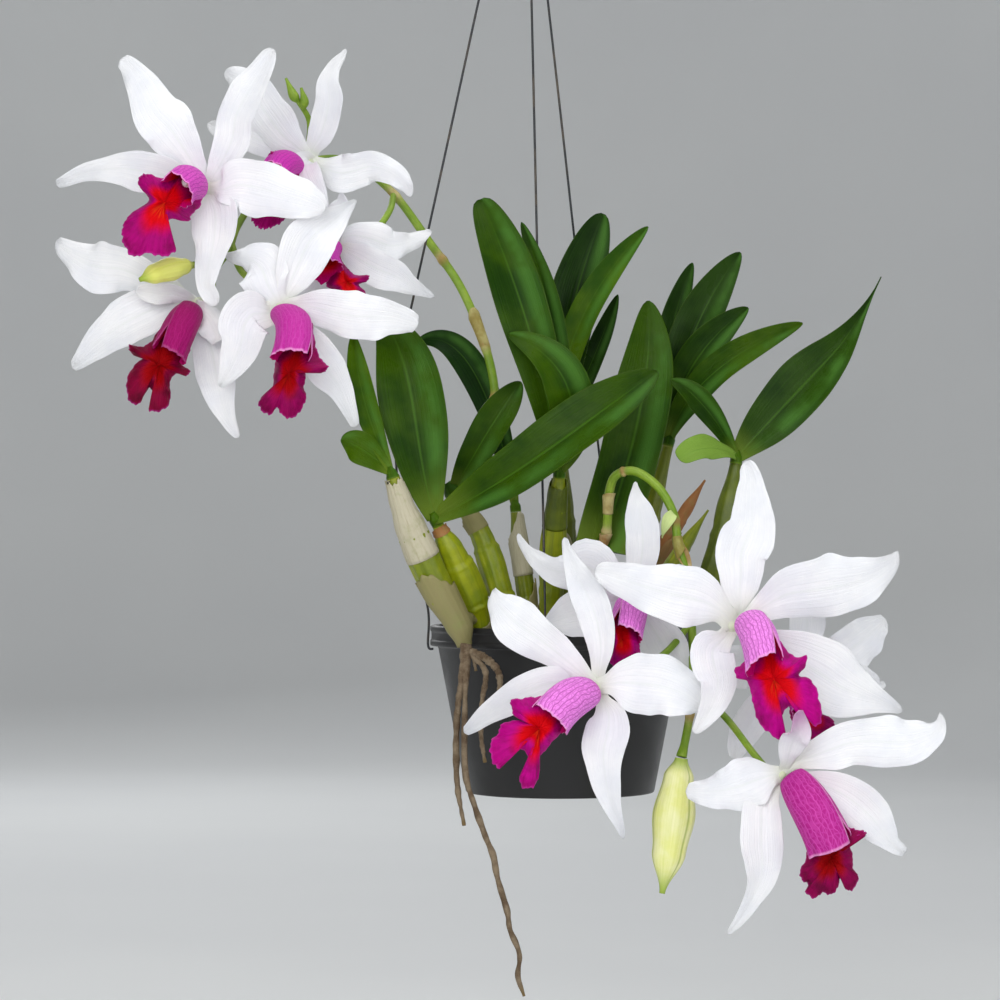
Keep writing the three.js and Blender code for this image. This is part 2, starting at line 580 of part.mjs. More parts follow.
const RIGHT_STALK = [
  [16.6, -30.6, 32.2, 1.9], [18.6, -36, 40, 1.9], [19.6, -41, 56, 1.9], [22, -44, 62.4, 1.8],
  [29, -47, 64.4, 1.8], [38.6, -48, 58.4, 1.8], [45.2, -49, 47.4, 1.8], [47.4, -50, 34, 1.8],
  [51, -51, 22, 1.8], [53, -52, -4, 1.7], [52.6, -54, -28, 1.7], [49.6, -57, -46, 1.7],
  [48.3, -58.4, -51.4, 2.2],
];
const RIGHT_BRACTS = [
  [[44.6, -49, 49, 1.2], [40.4, -50, 45.5, 1.5], [38.6, -51, 38, 0.6]],
  [[47.4, -50, 33.6, 1.2], [50.4, -51.5, 28, 1.5], [52.8, -52.5, 21, 0.6]],
];
const RIGHT_PEDICELS = [
  pedicel(6, [52, -51, 2], [[42, -60, -9], [28, -70, -17]]),
  pedicel(7, [50.4, -51, 24], []),
  pedicel(8, [53, -51.6, 10], [[56, -68, 6]]),
  pedicel(9, [52.8, -54, -24], [[70, -48, -22]]),
  pedicel(10, [52.8, -54, -26], [[63.6, -76, -33], [76, -98, -49]]),
];

const stem = (points, rows, sides) => rod(points, sides, rows);

const leftStalk = joined([
  stem(LEFT_STALK, 13, 6),
  stem(LEFT_TWIG, 2, 5),
  ...LEFT_SMALL_BUDS.map((points) => stem(points, 3, 5)),
  ...LEFT_PEDICELS.map((points) => stem(points, 3, 5)),
  stem(LEFT_BUD_STALK, 3, 5),
]);
const rightStalk = joined([
  stem(RIGHT_STALK, 15, 6),
  ...RIGHT_BRACTS.map((points) => stem(points, 2, 5)),
  ...RIGHT_PEDICELS.map((points) => stem(points, 4, 5)),
]);
const stalkRoom = joined([
  rod(LEFT_STALK.slice(0, 3), 8, 4, GAP), rod(RIGHT_STALK.slice(0, 3), 8, 4, GAP)]);

// Closed buds, each from just past the end of its stalk to its tip

const LEFT_BUD = [
  [-150, -56, 147.7, 1.5], [-153, -59, 147, 3.4], [-158, -64, 145.6, 4.9],
  [-164, -69, 143.4, 4.1], [-169.5, -73, 140.8, 1],
];
const RIGHT_BUD = [
  [48.2, -58.5, -52, 2.6], [47, -59, -60, 6.2], [45, -60, -75, 8.7], [43, -60, -90, 6.9],
  [40.3, -60, -106.5, 1.2],
];

// Aerial roots, one bunch from the creeping stem's overhanging end

const ROOTS = [
  [[-39, -49.5, -6, 2.4], [-41.1, -51, -22.4, 1.6], [-42.7, -51, -36, 1.5], [-42.6, -50, -63, 1.4],
    [-39.8, -50, -80, 0.9]],
  [[-38.6, -49.5, -7, 2.2], [-39.4, -52, -28.9, 1.5], [-39, -53, -60, 1.5], [-35.4, -53, -72, 1.4],
    [-31.7, -53, -82.6, 1.4], [-28, -53, -92, 1.4], [-26, -53, -102, 1.4], [-22.4, -53, -114, 1.4],
    [-21.1, -53, -122, 1.4], [-17.3, -53, -132, 1.3], [-17.9, -53, -141, 1.3],
    [-15.4, -53, -149, 0.8]],
  [[-38.6, -49.8, -8.6, 1.8], [-31.5, -54, -11.5, 1.8], [-26, -55.5, -17, 1.7],
    [-25.2, -56, -29, 1.2]],
  [[-37.6, -50.5, -9.4, 1.4], [-31.2, -54, -17, 1.3], [-32.4, -55, -29, 1.2], [-32.9, -54.5, -43, 1.1],
    [-31.3, -54, -54, 0.8]],
  [[-39.4, -50, -7, 1.6], [-36.4, -50.6, -10, 1.1], [-35, -50, -17, 0.7]],
];
const rootRoom = joined([oldBulbRoom, creeping('left', GAP)]);
const roots = mainBody(joined(ROOTS.map((points) => stem(points, points.length + 1, 5)))
  .subtract(rootRoom));

// Pot and bark

function lathe(profile, segments) {
  const points = profile.map(([r, z]) => new THREE.Vector2(r, z));
  const geometry = new THREE.LatheGeometry(points, segments);
  geometry.rotateX(Math.PI / 2);
  return solidFrom(geometry);
}

const bandRadius = POT_RIM_RADIUS + RIM_BAND_STEP;
const pot = lathe([
  [0, -POT_HEIGHT], [POT_BASE_RADIUS - 1.5, -POT_HEIGHT], [POT_BASE_RADIUS, -POT_HEIGHT + 1.5],
  [POT_RIM_RADIUS - 0.7, -RIM_BAND_HEIGHT], [bandRadius, -RIM_BAND_HEIGHT], [bandRadius, -0.8],
  [bandRadius - 0.8, 0], [POT_RIM_RADIUS - 0.6, 0], [POT_RIM_RADIUS - POT_WALL, -1],
  [POT_BASE_RADIUS - POT_WALL, -POT_HEIGHT + 2.6],
  [POT_BASE_RADIUS - POT_WALL - 1.2, -POT_HEIGHT + 1.7], [0, -POT_HEIGHT + 1.7],
], 24);

// A seeded draw between 0 and 1.
function draws(seed) {
  let state = seed;
  return () => {
    state = (state * 16807) % 2147483647;
    return state / 2147483647;
  };
}

const CHIP_RINGS = [[3, 20], [5, 38]];

// The bark: a filling with chips lying at its top in rings, each turned and tipped by the draw.
function medium() {
  const draw = draws(20261);
  const chips = [];
  for (const [count, radius] of CHIP_RINGS) {
    for (let n = 0; n < count; n += 1) {
      const turn = (2 * Math.PI * (n + 0.5 * draw())) / count;
      const chip = new THREE.BoxGeometry(13 + 5 * draw(), 8 + 4 * draw(), 5);
      chip.rotateX(0.5 * (draw() - 0.5));
      chip.rotateY(0.6 * (draw() - 0.5));
      chip.rotateZ(Math.PI * draw());
      const reach = radius - 2 * draw();
      chip.translate(reach * Math.cos(turn), reach * Math.sin(turn), MEDIUM_TOP - 0.6 + draw());
      chips.push(solidFrom(chip));
    }
  }
  const wall = (z) => POT_RIM_RADIUS - POT_WALL - 0.9
    - ((POT_RIM_RADIUS - POT_BASE_RADIUS) * (-1 - z)) / (POT_HEIGHT - 3.6);
  const filling = lathe([
    [0, -POT_HEIGHT + 2.05], [POT_BASE_RADIUS - POT_WALL - 2.2, -POT_HEIGHT + 2.05],
    [wall(-POT_HEIGHT + 4), -POT_HEIGHT + 4], [wall(MEDIUM_TOP - 2), MEDIUM_TOP - 2],
    [POT_RIM_RADIUS - 14, MEDIUM_TOP - 0.6], [0, MEDIUM_TOP],
  ], 18);
  return mainBody(joined([filling, ...chips]).subtract(bulbRoom));
}

// Hanger: three wires that hook under the rim band, and the ferrule with its hook

const wire = (points, rows, radius = WIRE_RADIUS, sides = 6) => (
  rod(points.map((p) => [...p, radius]), sides, rows));

// A wire's lower end follows the band's outside and turns in below it, at the given angle.
function rimHook(degrees) {
  const turn = THREE.MathUtils.degToRad(degrees);
  const at = (r, z) => [r * Math.cos(turn), r * Math.sin(turn), z];
  const clear = bandRadius + WIRE_RADIUS + GAP;
  return [at(clear, 6), at(clear, -RIM_BAND_HEIGHT - 0.2),
    at(clear - 0.6, -RIM_BAND_HEIGHT - 1.4), at(clear - 2.2, -RIM_BAND_HEIGHT - 1.5)];
}

const seat = (dx, dy, z) => [FERRULE.x + dx, FERRULE.y + dy, z];
const seatZ = FERRULE.bottom + 8;
const WIRES = {
  left: [seat(-2.1, 0, seatZ), seat(-2.6, 0, seatZ - 9), [-39, -1, 240], [-62.2, -2, 134.4],
    [-68.5, -2, 106], [-69.5, -2, 80], [-65.5, -1, 42], ...rimHook(181)],
  front: [seat(1, -2, seatZ), seat(1, -2.8, seatZ - 9), [-10.4, -27.5, 180], ...rimHook(262.8)],
  back: [seat(1, 2, seatZ), seat(1.2, 2.8, seatZ - 9), [4.8, 26, 180], ...rimHook(63.8)],
};
const wires = Object.fromEntries(Object.entries(WIRES).map(([name, points]) => (
  [name, wire(points, 2 * (points.length - 1))])));

function hook() {
  const top = FERRULE.bottom + FERRULE.height;
  const turned = lathe([
    [0, 0], [FERRULE.radius - 0.6, 0], [FERRULE.radius, 0.6],
    [FERRULE.radius, FERRULE.height - 3], [HOOK_ROD_RADIUS + 1, FERRULE.height],
    [0, FERRULE.height]], 12).translate(FERRULE.x, FERRULE.y, FERRULE.bottom);
  const bend = [];
  const centreZ = top + HOOK_SHANK;
  for (let n = 0; n <= 10; n += 1) {
    const turn = Math.PI * (1.0 - 0.125 * n);
    bend.push([FERRULE.x + HOOK_BEND_RADIUS + HOOK_BEND_RADIUS * Math.cos(turn), FERRULE.y,
      centreZ + HOOK_BEND_RADIUS * Math.sin(turn)]);
  }
  const shift = bend.map(([x, y, z]) => [x - HOOK_BEND_RADIUS, y, z]);
  const shank = [[FERRULE.x, FERRULE.y, top - 4], [FERRULE.x, FERRULE.y, top + 6],
    [FERRULE.x - HOOK_BEND_RADIUS, FERRULE.y, top + 18]];
  const crook = wire([...shank, ...shift], 13, HOOK_ROD_RADIUS, 7);
  const room = joined(Object.values(WIRES).map((points) => (
    wire(points.slice(0, 2), 1, WIRE_RADIUS + GAP))));
  return mainBody(joined([turned, crook]).subtract(room));
}

// The plant as a group of named meshes

const plant = new THREE.Group();
plant.position.set(-FERRULE.x, -FERRULE.y, -HOOK_TOP);

function place(name, solid, colour, roughness, metalness = 0) {
  const mesh = solid.simplify(0.05).getMesh();
  const geometry = new THREE.BufferGeometry();
  const positions = new Float32Array((mesh.vertProperties.length / mesh.numProp) * 3);
  for (let n = 0; n * 3 < positions.length; n += 1) {
    positions[n * 3] = mesh.vertProperties[n * mesh.numProp];
    positions[n * 3 + 1] = mesh.vertProperties[n * mesh.numProp + 1];
    positions[n * 3 + 2] = mesh.vertProperties[n * mesh.numProp + 2];
  }
  geometry.setAttribute('position', new THREE.BufferAttribute(positions, 3));
  geometry.setIndex(new THREE.BufferAttribute(new Uint32Array(mesh.triVerts), 1));
  geometry.computeVertexNormals();
  const material = new THREE.MeshStandardMaterial({ color: colour, roughness, metalness });
  const piece = new THREE.Mesh(geometry, material);
  piece.name = name;
  plant.add(piece);
}

place('pot_shell', pot, COLOUR.pot, 0.5);
place('bark_medium', medium(), COLOUR.bark, 0.95);
place('hanger_wire_left', wires.left, COLOUR.wire, 0.45, 0.9);
place('hanger_wire_front', wires.front, COLOUR.wire, 0.45, 0.9);
place('hanger_wire_back', wires.back, COLOUR.wire, 0.45, 0.9);
place('hanger_hook', hook(), COLOUR.steel, 0.35, 1);

place('old_pseudobulb', oldBulb, COLOUR.sheath, 0.7);
place('left_pseudobulbs', leftBulbs, COLOUR.bulb, 0.5);
place('middle_pseudobulbs', middleBulbs, COLOUR.bulb, 0.5);
place('right_pseudobulbs', rightBulbs, COLOUR.bulb, 0.5);

place('old_growth_leaves', LEAVES.old, COLOUR.leafLight, 0.4);
place('left_front_leaves', LEAVES.leftFront, COLOUR.leaf, 0.35);
place('left_back_leaf', mainBody(LEAVES.leftBack.subtract(stalkRoom)), COLOUR.leaf, 0.35);
place('left_inner_leaf', LEAVES.leftInner, COLOUR.leaf, 0.35);
place('middle_leaves', LEAVES.middle, COLOUR.leaf, 0.35);
place('rear_leaves', LEAVES.rear, COLOUR.leafLight, 0.35);
place('front_leaf', mainBody(LEAVES.front.subtract(stalkRoom)), COLOUR.leaf, 0.35);
place('right_rear_leaves', LEAVES.rightRear, COLOUR.leaf, 0.35);
place('right_leaves', LEAVES.right, COLOUR.leaf, 0.35);

place('aerial_roots', roots, COLOUR.root, 0.9);
place('left_flower_stalk', leftStalk, COLOUR.stalk, 0.45);
place('right_flower_stalk', rightStalk, COLOUR.stalk, 0.45);
place('left_bud', stem(LEFT_BUD, 6, 8), COLOUR.bud, 0.5);
place('right_bud', stem(RIGHT_BUD, 7, 10), COLOUR.bud, 0.5);

BLOOMS.forEach((bloom, n) => {
  place(`bloom_${n + 1}_petals`, cutPerianth(bloom), COLOUR.tepal, 0.5);
  place(`bloom_${n + 1}_lip`, lip(bloom), COLOUR.lip, 0.5);
});

export default plant;
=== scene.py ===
"""The potted orchid hybrid in its hanging pot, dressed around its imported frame.

Lengths in the tables are millimetres from the middle of the pot's rim; meshes are in metres from
the inside top of the hanger's hook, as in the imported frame. +Z is up and +Y leads away from the
viewer.
"""

import bpy
import numpy as np
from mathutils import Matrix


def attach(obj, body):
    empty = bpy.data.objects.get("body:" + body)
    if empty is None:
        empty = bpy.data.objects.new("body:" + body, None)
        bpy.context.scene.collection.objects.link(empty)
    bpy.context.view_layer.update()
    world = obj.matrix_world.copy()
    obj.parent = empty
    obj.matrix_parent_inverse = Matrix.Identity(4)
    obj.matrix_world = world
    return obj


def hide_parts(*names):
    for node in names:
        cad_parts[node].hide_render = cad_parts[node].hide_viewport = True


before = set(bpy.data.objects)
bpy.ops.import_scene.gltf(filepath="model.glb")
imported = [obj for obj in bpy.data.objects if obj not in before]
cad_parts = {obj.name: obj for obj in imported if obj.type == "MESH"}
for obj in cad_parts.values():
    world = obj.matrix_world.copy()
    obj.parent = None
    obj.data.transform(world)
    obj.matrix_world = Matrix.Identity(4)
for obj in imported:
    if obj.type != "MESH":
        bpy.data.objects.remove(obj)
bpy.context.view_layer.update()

# The pot: a black moulded plastic orchid pot with a stepped rim band that stiffens its mouth and
# gives the hanger's wires their hold. Made in one shot, slightly satin, with fine tool marks.

MILLIMETRE = 0.001
RIM_CENTRE = np.array([14.7, 0.0, -389.6])

POT_RIM_RADIUS = 52.0
POT_BASE_RADIUS = 39.5
POT_HEIGHT = 70.0
POT_WALL = 1.5
RIM_BAND_HEIGHT = 8.5
RIM_BAND_RADIUS = POT_RIM_RADIUS + 2.5
POT_SIDES = 120


def unit(vectors):
    """Each vector divided by its length."""
    vectors = np.asarray(vectors, float)
    return vectors / np.maximum(np.linalg.norm(vectors, axis=-1, keepdims=True), 1e-12)


def ring_quads(rows, per):
    """The four corners of each face between neighbouring rings of points, each corner's ring and
    its place round it, which is per, not 0, where the ring closes."""
    steps = [(0, 0), (0, 1), (1, 1), (1, 0)]
    start, turn = np.meshgrid(np.arange(rows - 1), np.arange(per), indexing="ij")
    row = np.stack([(start + a).ravel() for a, b in steps], 1)
    place = np.stack([(turn + b).ravel() for a, b in steps], 1)
    return row * per + place % per, row, place


def skin(rings, across, along, tone=0.0, finish=0, strip=False):
    """A closed skin over rings of points: quads join each ring to the next one, and a fan closes
    each end to its middle, or, for a strip, quads join each end's two sides. across holds one
    more value than a ring has points, and along one for each ring. Its faces are turned to the
    outside by the sign of the volume that they enclose."""
    rows, per = rings.shape[:2]
    quads, row, place = ring_quads(rows, per)
    quad_uv = np.stack([across[place], along[row]], 2)
    k = np.arange(per)
    last = (rows - 1) * per
    fans = np.concatenate([np.stack([np.full(per, rows * per), (k + 1) % per, k], 1),
                           np.stack([np.full(per, rows * per + 1), last + k,
                                     last + (k + 1) % per], 1)])
    ends = np.repeat([along[0], along[-1]], per)
    turns = np.tile(across[:-1], 2)
    fan_uv = np.repeat(np.stack([turns, ends], 1)[:, None], 3, axis=1)
    points = np.concatenate([rings.reshape(-1, 3), rings[0].mean(0)[None], rings[-1].mean(0)[None]])
    tones = np.broadcast_to(np.asarray(tone, float), (rows, per))
    tones = np.concatenate([tones.ravel(), [tones[0].mean(), tones[-1].mean()]])
    if strip:
        k = np.arange(per // 2 - 1)
        sides = np.stack([k, k + 1, per - 2 - k, per - 1 - k], 1)
        ends = np.concatenate([sides[:, [1, 0, 3, 2]], sides + last])
        quads = np.concatenate([quads, ends])
        quad_uv = np.concatenate([quad_uv, np.stack([across[ends % per], along[ends // per]], 2)])
        fans, fan_uv, points, tones = fans[:0], fan_uv[:0], points[:-2], tones[:-2]
    a, b, c, d = (points[quads[:, n]] for n in range(4))
    e, f, g = (points[fans[:, n]] for n in range(3))
    volume = (a * (np.cross(b, c) + np.cross(c, d))).sum() + (e * np.cross(f, g)).sum()
    if volume < 0:
        quads, quad_uv = quads[:, ::-1], quad_uv[:, ::-1]
        fans, fan_uv = fans[:, ::-1], fan_uv[:, ::-1]
    return {"points": points, "quads": quads, "fans": fans, "quad_uv": quad_uv,
            "fan_uv": fan_uv, "tones": tones, "finish": finish}


def piece(name, skins, paints, node):
    """One mesh of closed skins, in metres, that rides on the frame in place of its CAD node. A
    skin's finish is the place of its paint in the list."""
    start = np.cumsum([0] + [len(s["points"]) for s in skins])
    points = np.concatenate([s["points"] for s in skins])
    faces = []
    corners = []
    finishes = []
    for first, s in zip(start, skins):
        faces += (s["quads"] + first).tolist() + (s["fans"] + first).tolist()
        corners += [s["quad_uv"].reshape(-1), s["fan_uv"].reshape(-1)]
        finishes += [s["finish"]] * (len(s["quads"]) + len(s["fans"]))
    mesh = bpy.data.meshes.new(name)
    mesh.from_pydata((points + RIM_CENTRE) * MILLIMETRE, [], faces)
    mesh.uv_layers.new(name="UVMap").data.foreach_set("uv", np.concatenate(corners))
    tones = np.concatenate([s["tones"] for s in skins])
    mesh.attributes.new("tone", "FLOAT", "POINT").data.foreach_set("value", tones)
    mesh.polygons.foreach_set("use_smooth", np.ones(len(faces), bool))
    for paint in paints:
        mesh.materials.append(paint.made)
    mesh.polygons.foreach_set("material_index", finishes)
    mesh.update()
    made = bpy.data.objects.new(name, mesh)
    bpy.context.scene.collection.objects.link(made)
    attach(made, "root")
    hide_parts(node)


def eased(profile, radius, steps=4):
    """A profile of (radius, height) whose inner corners are cut by short arcs."""
    profile = np.array(profile, float)
    out = [profile[:1]]
    for before, at, after in zip(profile, profile[1:], profile[2:]):
        reach = [min(radius, 0.45 * np.linalg.norm(p - at)) for p in (before, after)]
        start = at + unit(before - at) * reach[0]
        end = at + unit(after - at) * reach[1]
        t = np.linspace(0, 1, steps)[:, None]
        out.append((1 - t) ** 2 * start + 2 * t * (1 - t) * at + t * t * end)
    return np.concatenate(out + [profile[-1:]])


def turned(profile, sides, middle=(0.0, 0.0), tone=0.0):
    """A profile of (radius, height) turned once about an upright axis."""
    angle = 2 * np.pi * np.arange(sides) / sides
    radius, height = profile[:, 0, None], profile[:, 1, None]
    rings = np.stack([middle[0] + radius * np.cos(angle), middle[1] + radius * np.sin(angle),
                      height + 0 * angle], -1)
    length = np.concatenate([[0], np.cumsum(np.linalg.norm(np.diff(profile, axis=0), axis=1))])
    return skin(rings, np.linspace(0, 1, sides + 1), length / length[-1], tone)


def colour(red, green, blue):
    """A colour given as it looks, in 255ths, as the linear values that a shader takes."""
    shown = np.array([red, green, blue]) / 255
    linear = np.where(shown <= 0.04045, shown / 12.92, ((shown + 0.055) / 1.055) ** 2.4)
    return (*linear.tolist(), 1.0)


SOCKET = bpy.types.NodeSocket


def add(kind, values, tree=None, **settings):
    """One shader node with its settings, in the tree that its linked values belong to. Each value
    is a number, a colour or another node's output."""
    linked = {key: value for key, value in values.items() if isinstance(value, SOCKET)}
    tree = tree or next(iter(linked.values())).id_data
    node = tree.nodes.new(kind)
    for key, value in settings.items():
        setattr(node, key, value)
    for key, value in values.items():
        if key in linked:
            tree.links.new(value, node.inputs[key])
        else:
            node.inputs[key].default_value = value
    return node


def faded(value, low, high, start=0.0, end=1.0):
    """A value taken from the range low..high to start..end, with an eased slope."""
    return add("ShaderNodeMapRange", {0: value, 1: low, 2: high, 3: start, 4: end},
               interpolation_type="SMOOTHSTEP").outputs[0]


def coated(base, *coats):
    """A colour with coats laid over it in turn. Each coat is a share, and the colour that the
    whole takes where it is 1. A colour is another node's output, or a triple in 255ths."""
    for share, coat in coats:
        first, second = (c if isinstance(c, SOCKET) else colour(*c) for c in (base, coat))
        base = add("ShaderNodeMix", {0: share, 6: first, 7: second}, data_type="RGBA").outputs[2]
    return base


class Paint:
    """A Principled material of one roughness and other constants, and what its colours start
    from: the place on the object, the two directions of the mesh's own UV, and its tone."""

    def __init__(self, name, roughness, **constants):
        self.made = bpy.data.materials.new(name)
        self.made.use_nodes = True
        tree = self.made.node_tree
        self.shader = tree.nodes["Principled BSDF"]
        self.shader.inputs["Roughness"].default_value = roughness
        for socket, value in constants.items():
            self.shader.inputs[socket.replace("_", " ")].default_value = value
        where = add("ShaderNodeTexCoord", {}, tree)
        self.place = where.outputs["Object"]
        self.across, self.along = add("ShaderNodeSeparateXYZ",
                                      {0: where.outputs["UV"]}).outputs[:2]
        self.tone = add("ShaderNodeAttribute", {}, tree, attribute_name="tone").outputs["Fac"]

    def finish(self, base, relief=None, depth=0.0, roughness=None):
        """Leads the base colour, a relief of 0 to 1 that stands for depth millimetres, and a
        roughness that varies to the shader."""
        link = self.made.node_tree.links.new
        link(base, self.shader.inputs["Base Color"])
        if roughness is not None:
            link(roughness, self.shader.inputs["Roughness"])
        if relief is not None:
            bump = add("ShaderNodeBump", {"Strength": 1.0, "Distance": depth * MILLIMETRE,
                                          "Height": relief})
            link(bump.outputs[0], self.shader.inputs["Normal"])


def group(name, inputs, outputs):
    """An empty shader group with number inputs at their usual values, or a vector input where
    that is None, and named outputs."""
    tree = bpy.data.node_groups.new(name, "ShaderNodeTree")
    for title, usual in inputs.items():
        kind = "NodeSocketVector" if usual is None else "NodeSocketFloat"
        socket = tree.interface.new_socket(title, in_out="INPUT", socket_type=kind)
        if usual is not None:
            socket.default_value = usual
    for title in outputs:
        tree.interface.new_socket(title, in_out="OUTPUT", socket_type="NodeSocketFloat")
    given, result = (add(kind, {}, tree) for kind in ("NodeGroupInput", "NodeGroupOutput"))
    return tree, given.outputs, result.inputs


# Mottle: soft large patches and fine grain, which every material here is varied and roughened by.
mottle, given, result = group("mottle", {"Place": None, "Patches": 60.0, "Grain": 900.0},
                              ["Patches", "Grain"])
for title, detail in (("Patches", 3.0), ("Grain", 5.0)):
    noise = add("ShaderNodeTexNoise", {"Vector": given["Place"], "Scale": given[title],
                                       "Detail": detail, "Roughness": 0.6})
    mottle.links.new(noise.outputs["Fac"], result[title])


def mottled(paint, patches, grain):
    """The mottle group's patches and grain in a material, at those scales."""
    values = {"Place": paint.place, "Patches": patches, "Grain": grain}
    return add("ShaderNodeGroup", values, node_tree=mottle).outputs[:2]


plastic = Paint("pot_plastic", 0.42, Specular_IOR_Level=0.45)
patches, grain = mottled(plastic, 30.0, 2500.0)
dust = faded(patches, 0.5, 0.8, 0.0, 0.5)
plastic.finish(coated((26, 26, 27), (dust, (58, 56, 52))), grain, 0.05,
               faded(patches, 0.3, 0.8, 0.36, 0.62))

pot_profile = [
    (0.01, -POT_HEIGHT + 2.6), (POT_BASE_RADIUS - 8, -POT_HEIGHT + 2.2),
    (POT_BASE_RADIUS - 9, -POT_HEIGHT), (POT_BASE_RADIUS, -POT_HEIGHT),
    (POT_RIM_RADIUS - 0.9, -RIM_BAND_HEIGHT - 1.2), (POT_RIM_RADIUS - 0.4, -RIM_BAND_HEIGHT),
    (RIM_BAND_RADIUS, -RIM_BAND_HEIGHT), (RIM_BAND_RADIUS, -RIM_BAND_HEIGHT + 2.2),
    (RIM_BAND_RADIUS - 0.5, -RIM_BAND_HEIGHT + 2.6), (RIM_BAND_RADIUS - 0.5, -2.6),
    (RIM_BAND_RADIUS, -2.2), (RIM_BAND_RADIUS, 0), (POT_RIM_RADIUS - 0.6, 0),
    (POT_RIM_RADIUS - POT_WALL, -1.2), (POT_BASE_RADIUS - POT_WALL, -POT_HEIGHT + 5),
    (0.01, -POT_HEIGHT + 4.6),
]
piece("pot_plastic_shell", [turned(eased(pot_profile, 0.8), POT_SIDES)], [plastic],
      "pot_shell")

# The medium: fir bark chips that fill the pot and hold the roots, each split along its grain, dry
# brown and reddish, lying as they fell. The pseudobulbs stand between them.

MEDIUM_TOP = -5.0
MEDIUM_REACH = 44.0
CHIP_COUNT = 150
CHIP_SIZES = ((8, 15), (5, 9), (3.4, 5))
CHIP_ROWS = 11
CHIP_SIDES = 14
GOLDEN_TURN = 2.399963


def sums(operation, *values):
    """One arithmetic step on numbers or other nodes' outputs."""
    return add("ShaderNodeMath", dict(enumerate(values)), operation=operation).outputs[0]


bark = Paint("fir_bark", 0.9)
patches, grain = mottled(bark, 160.0, 1400.0)
fibres = add("ShaderNodeTexWave", {"Vector": bark.place, "Scale": 180.0, "Distortion": 9.0,
                                   "Detail": 3.0}, wave_type="BANDS").outputs["Fac"]
brown = coated((74, 48, 32), (bark.tone, (128, 84, 54)),
               (faded(patches, 0.4, 0.7), (52, 36, 27)),
               (sums("MULTIPLY", fibres, 0.35), (150, 112, 78)))
bark.finish(brown, sums("MULTIPLY_ADD", fibres, 0.6, grain), 0.5)

draw = np.random.default_rng(611)


def turn_matrix(angles):
    """Turns by three angles about X, then Y, then Z."""
    (cx, cy, cz), (sx, sy, sz) = np.cos(angles), np.sin(angles)
    about_x = np.array([[1, 0, 0], [0, cx, -sx], [0, sx, cx]])
    about_y = np.array([[cy, 0, sy], [0, 1, 0], [-sy, 0, cy]])
    about_z = np.array([[cz, -sz, 0], [sz, cz, 0], [0, 0, 1]])
    return about_z @ about_y @ about_x


def chip(middle, size, angles, shade):
    """A squarish lump with chipped faces: a rounded box, |cos| and |sin| raised to 0.45, whose
    radius swings by two low waves of drawn phases."""
    down = np.linspace(0.12, np.pi - 0.12, CHIP_ROWS)[:, None]
    turn = 2 * np.pi * np.arange(CHIP_SIDES)[None] / CHIP_SIDES
    squared = lambda wave: np.sign(wave) * np.abs(wave) ** 0.45
    phase = draw.uniform(0, 6.3, 3)
    rough = 1 + 0.09 * np.sin(3 * turn + phase[0]) * np.sin(2 * down + phase[1]) \
        + 0.05 * np.sin(7 * turn + phase[2] + 4 * down)
    shape = np.stack([squared(np.sin(down)) * squared(np.cos(turn)) * rough,
                      squared(np.sin(down)) * squared(np.sin(turn)) * rough,
                      squared(np.cos(down)) * (1 + 0 * turn) * rough], -1)
    rings = shape * np.array(size) / 2 @ turn_matrix(angles).T + np.array(middle)
    return skin(rings, np.linspace(0, 1, CHIP_SIDES + 1), np.linspace(0, 1, CHIP_ROWS), shade)


chips = []
for n in range(CHIP_COUNT):
    reach = MEDIUM_REACH * np.sqrt((n + 0.5) / CHIP_COUNT)
    turn = GOLDEN_TURN * n + draw.uniform(-0.3, 0.3)
    size = [draw.uniform(*limits) for limits in CHIP_SIZES]
    height = MEDIUM_TOP - 1.2 + draw.uniform(-1.5, 2.2)
    chips.append(chip((reach * np.cos(turn), reach * np.sin(turn), height), size,
                      (draw.uniform(-0.5, 0.5), draw.uniform(-0.45, 0.45),
                       draw.uniform(0, 3.1)), draw.uniform(0, 1)))
filling = eased([
    (0.01, -POT_HEIGHT + 5), (POT_BASE_RADIUS - 3, -POT_HEIGHT + 5.4),
    (POT_RIM_RADIUS - POT_WALL - 3, MEDIUM_TOP - 3), (POT_RIM_RADIUS - 14, MEDIUM_TOP - 2),
    (0.01, MEDIUM_TOP - 2)], 1.5)
piece("bark_chips", [turned(filling, 48, tone=0.1)] + chips, [bark], "bark_medium")

# The hanger: three dark wires hooked under the rim band, their upper ends crimped in a ferrule
# that a bent steel rod, the hook, grows out of. It hangs on whatever the crook takes.

WIRE_RADIUS = 0.5
FERRULE = np.array([-14.7, 0.0, 344.0])
FERRULE_HEIGHT = 13.0
FERRULE_RADIUS = 4.2
HOOK_ROD_RADIUS = 1.4
HOOK_SHANK = 24.0
HOOK_BEND_RADIUS = 10.0


def curve(points, t):
    """A centripetal Catmull-Rom curve through the points, at t from 0 to 1: on each stretch a
    cubic whose end slopes come from the chords on both sides, weighted by their roots."""
    points = np.asarray(points, float)[:, :3]
    ends = np.concatenate([[2 * points[0] - points[1]], points, [2 * points[-1] - points[-2]]])
    along = np.clip(t, 0, 1) * (len(points) - 1)
    first = np.minimum(along.astype(int), len(points) - 2)
    u = (along - first)[:, None]
    a, b, c, d = (ends[first + n] for n in range(4))
    root = lambda p, q: np.maximum(np.linalg.norm(q - p, axis=1) ** 0.5, 1e-4)[:, None]
    ab, bc, cd = root(a, b), root(b, c), root(c, d)
    slope_b = ((b - a) / ab - (c - a) / (ab + bc) + (c - b) / bc) * bc
    slope_c = ((c - b) / bc - (d - b) / (bc + cd) + (d - c) / cd) * bc
    return b + slope_b * u + (3 * (c - b) - 2 * slope_b - slope_c) * u ** 2 \
        + (2 * (b - c) + slope_b + slope_c) * u ** 3


